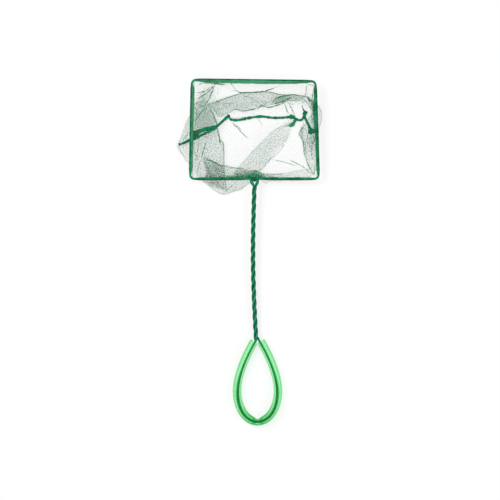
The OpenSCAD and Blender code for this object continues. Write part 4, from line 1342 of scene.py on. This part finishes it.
def makeKnot(name, x, y, z, size):
    points = []
    for i in range(knot["steps"]):
        a = 2 * math.pi * i / knot["steps"]
        wide = knot["half"] * size * (knot["round"] + knot["lobes"] * math.cos(3 * a))
        points.append(netPoint(x + wide * math.cos(2 * a), y + wide * math.sin(2 * a),
                               z + knot["rise"] * size * math.sin(3 * a)))
    piece = tubeAlong(name, points, knot["tape"] * size * mm, knot["roundness"], cyclic=True)
    piece.data.materials.append(bindingTape)
    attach(piece, "root")
    return piece


seamBinding = makeBinding()
netParts = [makeRoll("seamTab", tabNet), makeRoll("throatGather", bunchNet), makeBunch(),
            makeWing(), netTucks]
knots = [makeKnot(name, *place) for name, place in knotPlaces.items()]
print("binding done")


# hems: tape folded over each rail and stitched into a lip that hangs into the window
hem = {
    "outer": 1.75 * mm,
    "endRadius": 1.36 * mm,
    "round": 16,
    "roundPale": 0.85,
    "paleFrom": 0.15,
    "paleOver": 0.8,
    "lipThick": 0.3 * mm,
    "lipShape": [(0.5, -1), (0.85, -1), (1, -0.6), (1, 0.6), (0.85, 1), (0.5, 1)],
    "lipInside": 0.1,
    "lipPale": (0.5, 0.9),
    "leastLip": 0.05,
    "endShare": 0.2,
    "taper": 6.5 * mm,
    "past": 2.9 * mm,
    "step": 0.6 * mm,
    "ripple": (0.4, 170),
    "fineRipple": (0.45, 700),
    "puff": (0.06, 900),
    "sharp": 60,
    "fullEase": 10 * mm,
    "stitchLength": 1.7 * mm,
    "stitchShape": (-1, -0.8, 0, 0.8, 1),
    "stitchStep": 2.5 * mm,
    "stitchInset": 4 * mm,
    "stitchRadius": 0.13 * mm,
    "stitchRoundness": 1,
    "stitchOut": 0.4 * mm,
    "stitchLift": 0.25,
    "stitchDive": 0.5 * mm,
}
# each hem's side, the least and most length of its lip in millimetres and how pale the lip is
hemSpans = {
    "hem_far": ("far", 0.8, 2.6, 1.42),
    "hem_left": ("left", 0.3, 0.9, 1.0),
    "hem_right": ("right", 0.2, 0.8, 0.3),
    "hem_near_left": ("near", 0.8, 1.8, 0.4),
    "hem_near_right": ("near", 0.6, 1.8, 0.35),
}
# where the lip of a hem is longer: from and to along the rail, and by how much
fullSpans = {"left": (76 * mm, 140 * mm, 1.1), "right": (52 * mm, 98 * mm, 1.7)}
# the finish of the hems' tape, paler on the lip
hemLook = {
    "shader": {"Roughness": 0.8, "Specular IOR Level": 0.08},
    "weave": (1300, 3, 0.6),
    "weaveShare": 0.3,
    "patches": (130, 4, 0.6),
    "patchShare": 0.9,
    "lip": (0.62, -0.32),
    "stops": (0.2, 0.45, 0.9),
    "bump": 0.25 * mm,
}
hemTape = tapeMaterial("hemTape", hemLook, (0.002, 0.085, 0.033), (0.012, 0.19, 0.085),
                       (0.085, 0.37, 0.175))
threadColour = tapeMaterial("hemThread", tapeLook, (0.02, 0.20, 0.10), (0.10, 0.42, 0.24))


def hemSection(lipLength, angle, radius):
    # points as (inward, up, share of lip), round the tape and then back along the lip
    slope = math.radians(angle)
    thick = hem["lipThick"]
    inside, sides = hem["lipInside"], hem["round"]
    section = []
    gap = math.asin(thick / radius)
    for i in range(sides + 1):
        a = -slope + gap + (2 * math.pi - 2 * gap) * i / sides
        pale = hem["roundPale"] * ease((math.cos(a) + hem["paleFrom"]) / hem["paleOver"])
        section.append((radius * math.cos(a), radius * math.sin(a), pale))
    for out, off in hem["lipShape"]:
        along = mix(radius, radius + lipLength, (out - inside) / (1 - inside))
        x = along * math.cos(slope) + off * thick * math.sin(slope)
        z = -along * math.sin(slope) + off * thick * math.cos(slope)
        section.append((x, z, mix(*hem["lipPale"], out)))
    return section


def hemRun(node, inset=0):
    # where a hem starts and stops along its rail, and the net's own origin in that direction
    low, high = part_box(node)
    axis = 1 if hemSpans[node][0] in ("left", "right") else 0
    return low[axis] + inset, high[axis] - inset, originY if axis else originX


def makeHem(node):
    side, least, most, pale = hemSpans[node]
    # at a corner the tape thins out as far as the bend, a little past its plain length
    start, stop, origin = hemRun(node)
    start -= 0 if node == "hem_near_right" else hem["past"]
    stop += 0 if node == "hem_near_left" else hem["past"]
    count = int((stop - start) / hem["step"])
    _, angle = lips[side]
    rings, share = [], []
    for i in range(count + 1):
        place = mix(start, stop, i / count)
        centre, inward = railPoint(side, (place - origin) / mm)
        near = ease(min(place - start, stop - place) / hem["taper"])
        full = lipShare(side, place)
        ripple = uneven(centre, *hem["ripple"]) + uneven(centre, *hem["fineRipple"])
        length = mix(least, most * full, near) * mix(hem["endShare"], 1, near) + ripple * near
        length = max(hem["leastLip"], length) * mm
        if side in fullSpans:
            lower, upper, more = fullSpans[side]
            length *= 1 + more * (ease((place - origin - lower) / hem["fullEase"])
                                  * ease((upper - place + origin) / hem["fullEase"]))
        for x, z, s in hemSection(length, angle, mix(hem["endRadius"], hem["outer"], near)):
            puff = 1 + uneven(Vector((x, z, centre.x + centre.y)), *hem["puff"])
            rings.append(centre + inward * x * puff + Vector((0, 0, z * puff)))
            share.append(s * pale * full)
    sides = len(rings) // (count + 1)
    faces = tubeFaces(0, count, sides)
    faces.append(tuple(range(sides)))
    faces.append(tuple(range(count * sides, (count + 1) * sides))[::-1])
    piece = meshPiece(node + "Tape", rings, faces, lip=share)
    outwardAndSmooth(piece, hem["sharp"])
    piece.data.materials.append(hemTape)
    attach(piece, "root")
    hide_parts(node)
    return piece


def makeStitches(node):
    # one sunk thread stitch, repeated along the straight rail
    side = hemSpans[node][0]
    start, stop, origin = hemRun(node, hem["stitchInset"])
    first, last = (start - origin) / mm, (stop - origin) / mm
    _, angle = lips[side]
    slope = math.radians(angle)

    def onLip(along):
        centre, inward = railPoint(side, along)
        out = hem["outer"] + hem["stitchOut"]
        lift = hem["lipThick"] + hem["stitchLift"] * hem["stitchRadius"]
        return centre + inward * (out * math.cos(slope) + lift * math.sin(slope)) + Vector(
            (0, 0, -out * math.sin(slope) + lift * math.cos(slope)))

    half = hem["stitchLength"] / 2 / mm
    points = [onLip(first + half * s) for s in hem["stitchShape"]]
    for end in (0, -1):
        points[end].z -= hem["stitchDive"]
    stitch = tubeAlong(node + "Stitches", points, hem["stitchRadius"],
                       hem["stitchRoundness"])
    step = onLip(first + hem["stitchStep"] / mm) - onLip(first)
    repeat = stitch.modifiers.new("repeat", "ARRAY")
    repeat.count = int((last - first) / (hem["stitchStep"] / mm))
    repeat.use_relative_offset = False
    repeat.use_constant_offset = True
    repeat.constant_offset_displace = step
    bpy.ops.object.modifier_apply(modifier="repeat")
    stitch.data.materials.append(threadColour)
    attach(stitch, "root")
    return stitch


hems = [makeHem(node) for node in hemSpans]
stitches = [makeStitches(node) for node in hemSpans]
print("hems done")


# floor, lights and camera
studio = {
    "floorSize": 3.0,
    "floorColour": (0.93, 0.93, 0.93, 1),
    "floorGlow": 0.75,
    "worldStrength": 0.45,
    # each lamp's place, size and power
    "lamps": {
        "keyLight": ((-1.1, 0.7, 1.5), 1.0, 26),
        "fillLight": ((1.3, -0.6, 1.3), 1.2, 14),
    },
    "photoWidth": 592 * mm,
    "photoMiddle": (-0.2 * mm, 2.6 * mm),
    "cameraHeight": 3.3,
    "sensor": 36,
}


def makeFloor():
    bpy.ops.mesh.primitive_plane_add(size=studio["floorSize"], location=(0, 0, 0))
    floor = bpy.context.active_object
    floor.name = "studioFloor"
    material = bpy.data.materials.new("paleFloor")
    material.use_nodes = True
    tree = material.node_tree
    tree.nodes.clear()
    output = addNode(tree, "ShaderNodeOutputMaterial")
    diffuse = addNode(tree, "ShaderNodeBsdfDiffuse")
    diffuse.inputs["Color"].default_value = studio["floorColour"]
    glow = addNode(tree, "ShaderNodeEmission")
    both = addNode(tree, "ShaderNodeMixShader")
    rays = addNode(tree, "ShaderNodeLightPath")
    seen = mathNode(tree, "ADD", rays.outputs["Is Camera Ray"],
                    rays.outputs["Is Transmission Ray"], clamped=True)
    tree.links.new(mathNode(tree, "MULTIPLY", seen, studio["floorGlow"]), both.inputs["Fac"])
    tree.links.new(diffuse.outputs["BSDF"], both.inputs[1])
    tree.links.new(glow.outputs["Emission"], both.inputs[2])
    tree.links.new(both.outputs["Shader"], output.inputs["Surface"])
    floor.data.materials.append(material)


def makeLight(name, place, size, power):
    lamp = bpy.data.lights.new(name, "AREA")
    lamp.shape = "SQUARE"
    lamp.size = size
    lamp.energy = power
    light = addObject(name, lamp)
    light.location = place
    light.rotation_euler = Vector(place).to_track_quat("Z", "Y").to_euler()


def makeStudio():
    makeFloor()
    for name, lamp in studio["lamps"].items():
        makeLight(name, *lamp)
    world = bpy.data.worlds.new("studioWorld")
    bpy.context.scene.world = world
    world.use_nodes = True
    background = world.node_tree.nodes["Background"]
    background.inputs["Color"].default_value = (1, 1, 1, 1)
    background.inputs["Strength"].default_value = studio["worldStrength"]
    camera = addObject("photoCamera", bpy.data.cameras.new("photoCamera"))
    x, y = studio["photoMiddle"]
    camera.location = (x, y, studio["cameraHeight"])
    camera.data.sensor_width = studio["sensor"]
    camera.data.lens = studio["sensor"] * studio["cameraHeight"] / studio["photoWidth"]
    bpy.context.scene.camera = camera
    bpy.context.scene.view_settings.view_transform = "Standard"


makeStudio()
print("studio done")
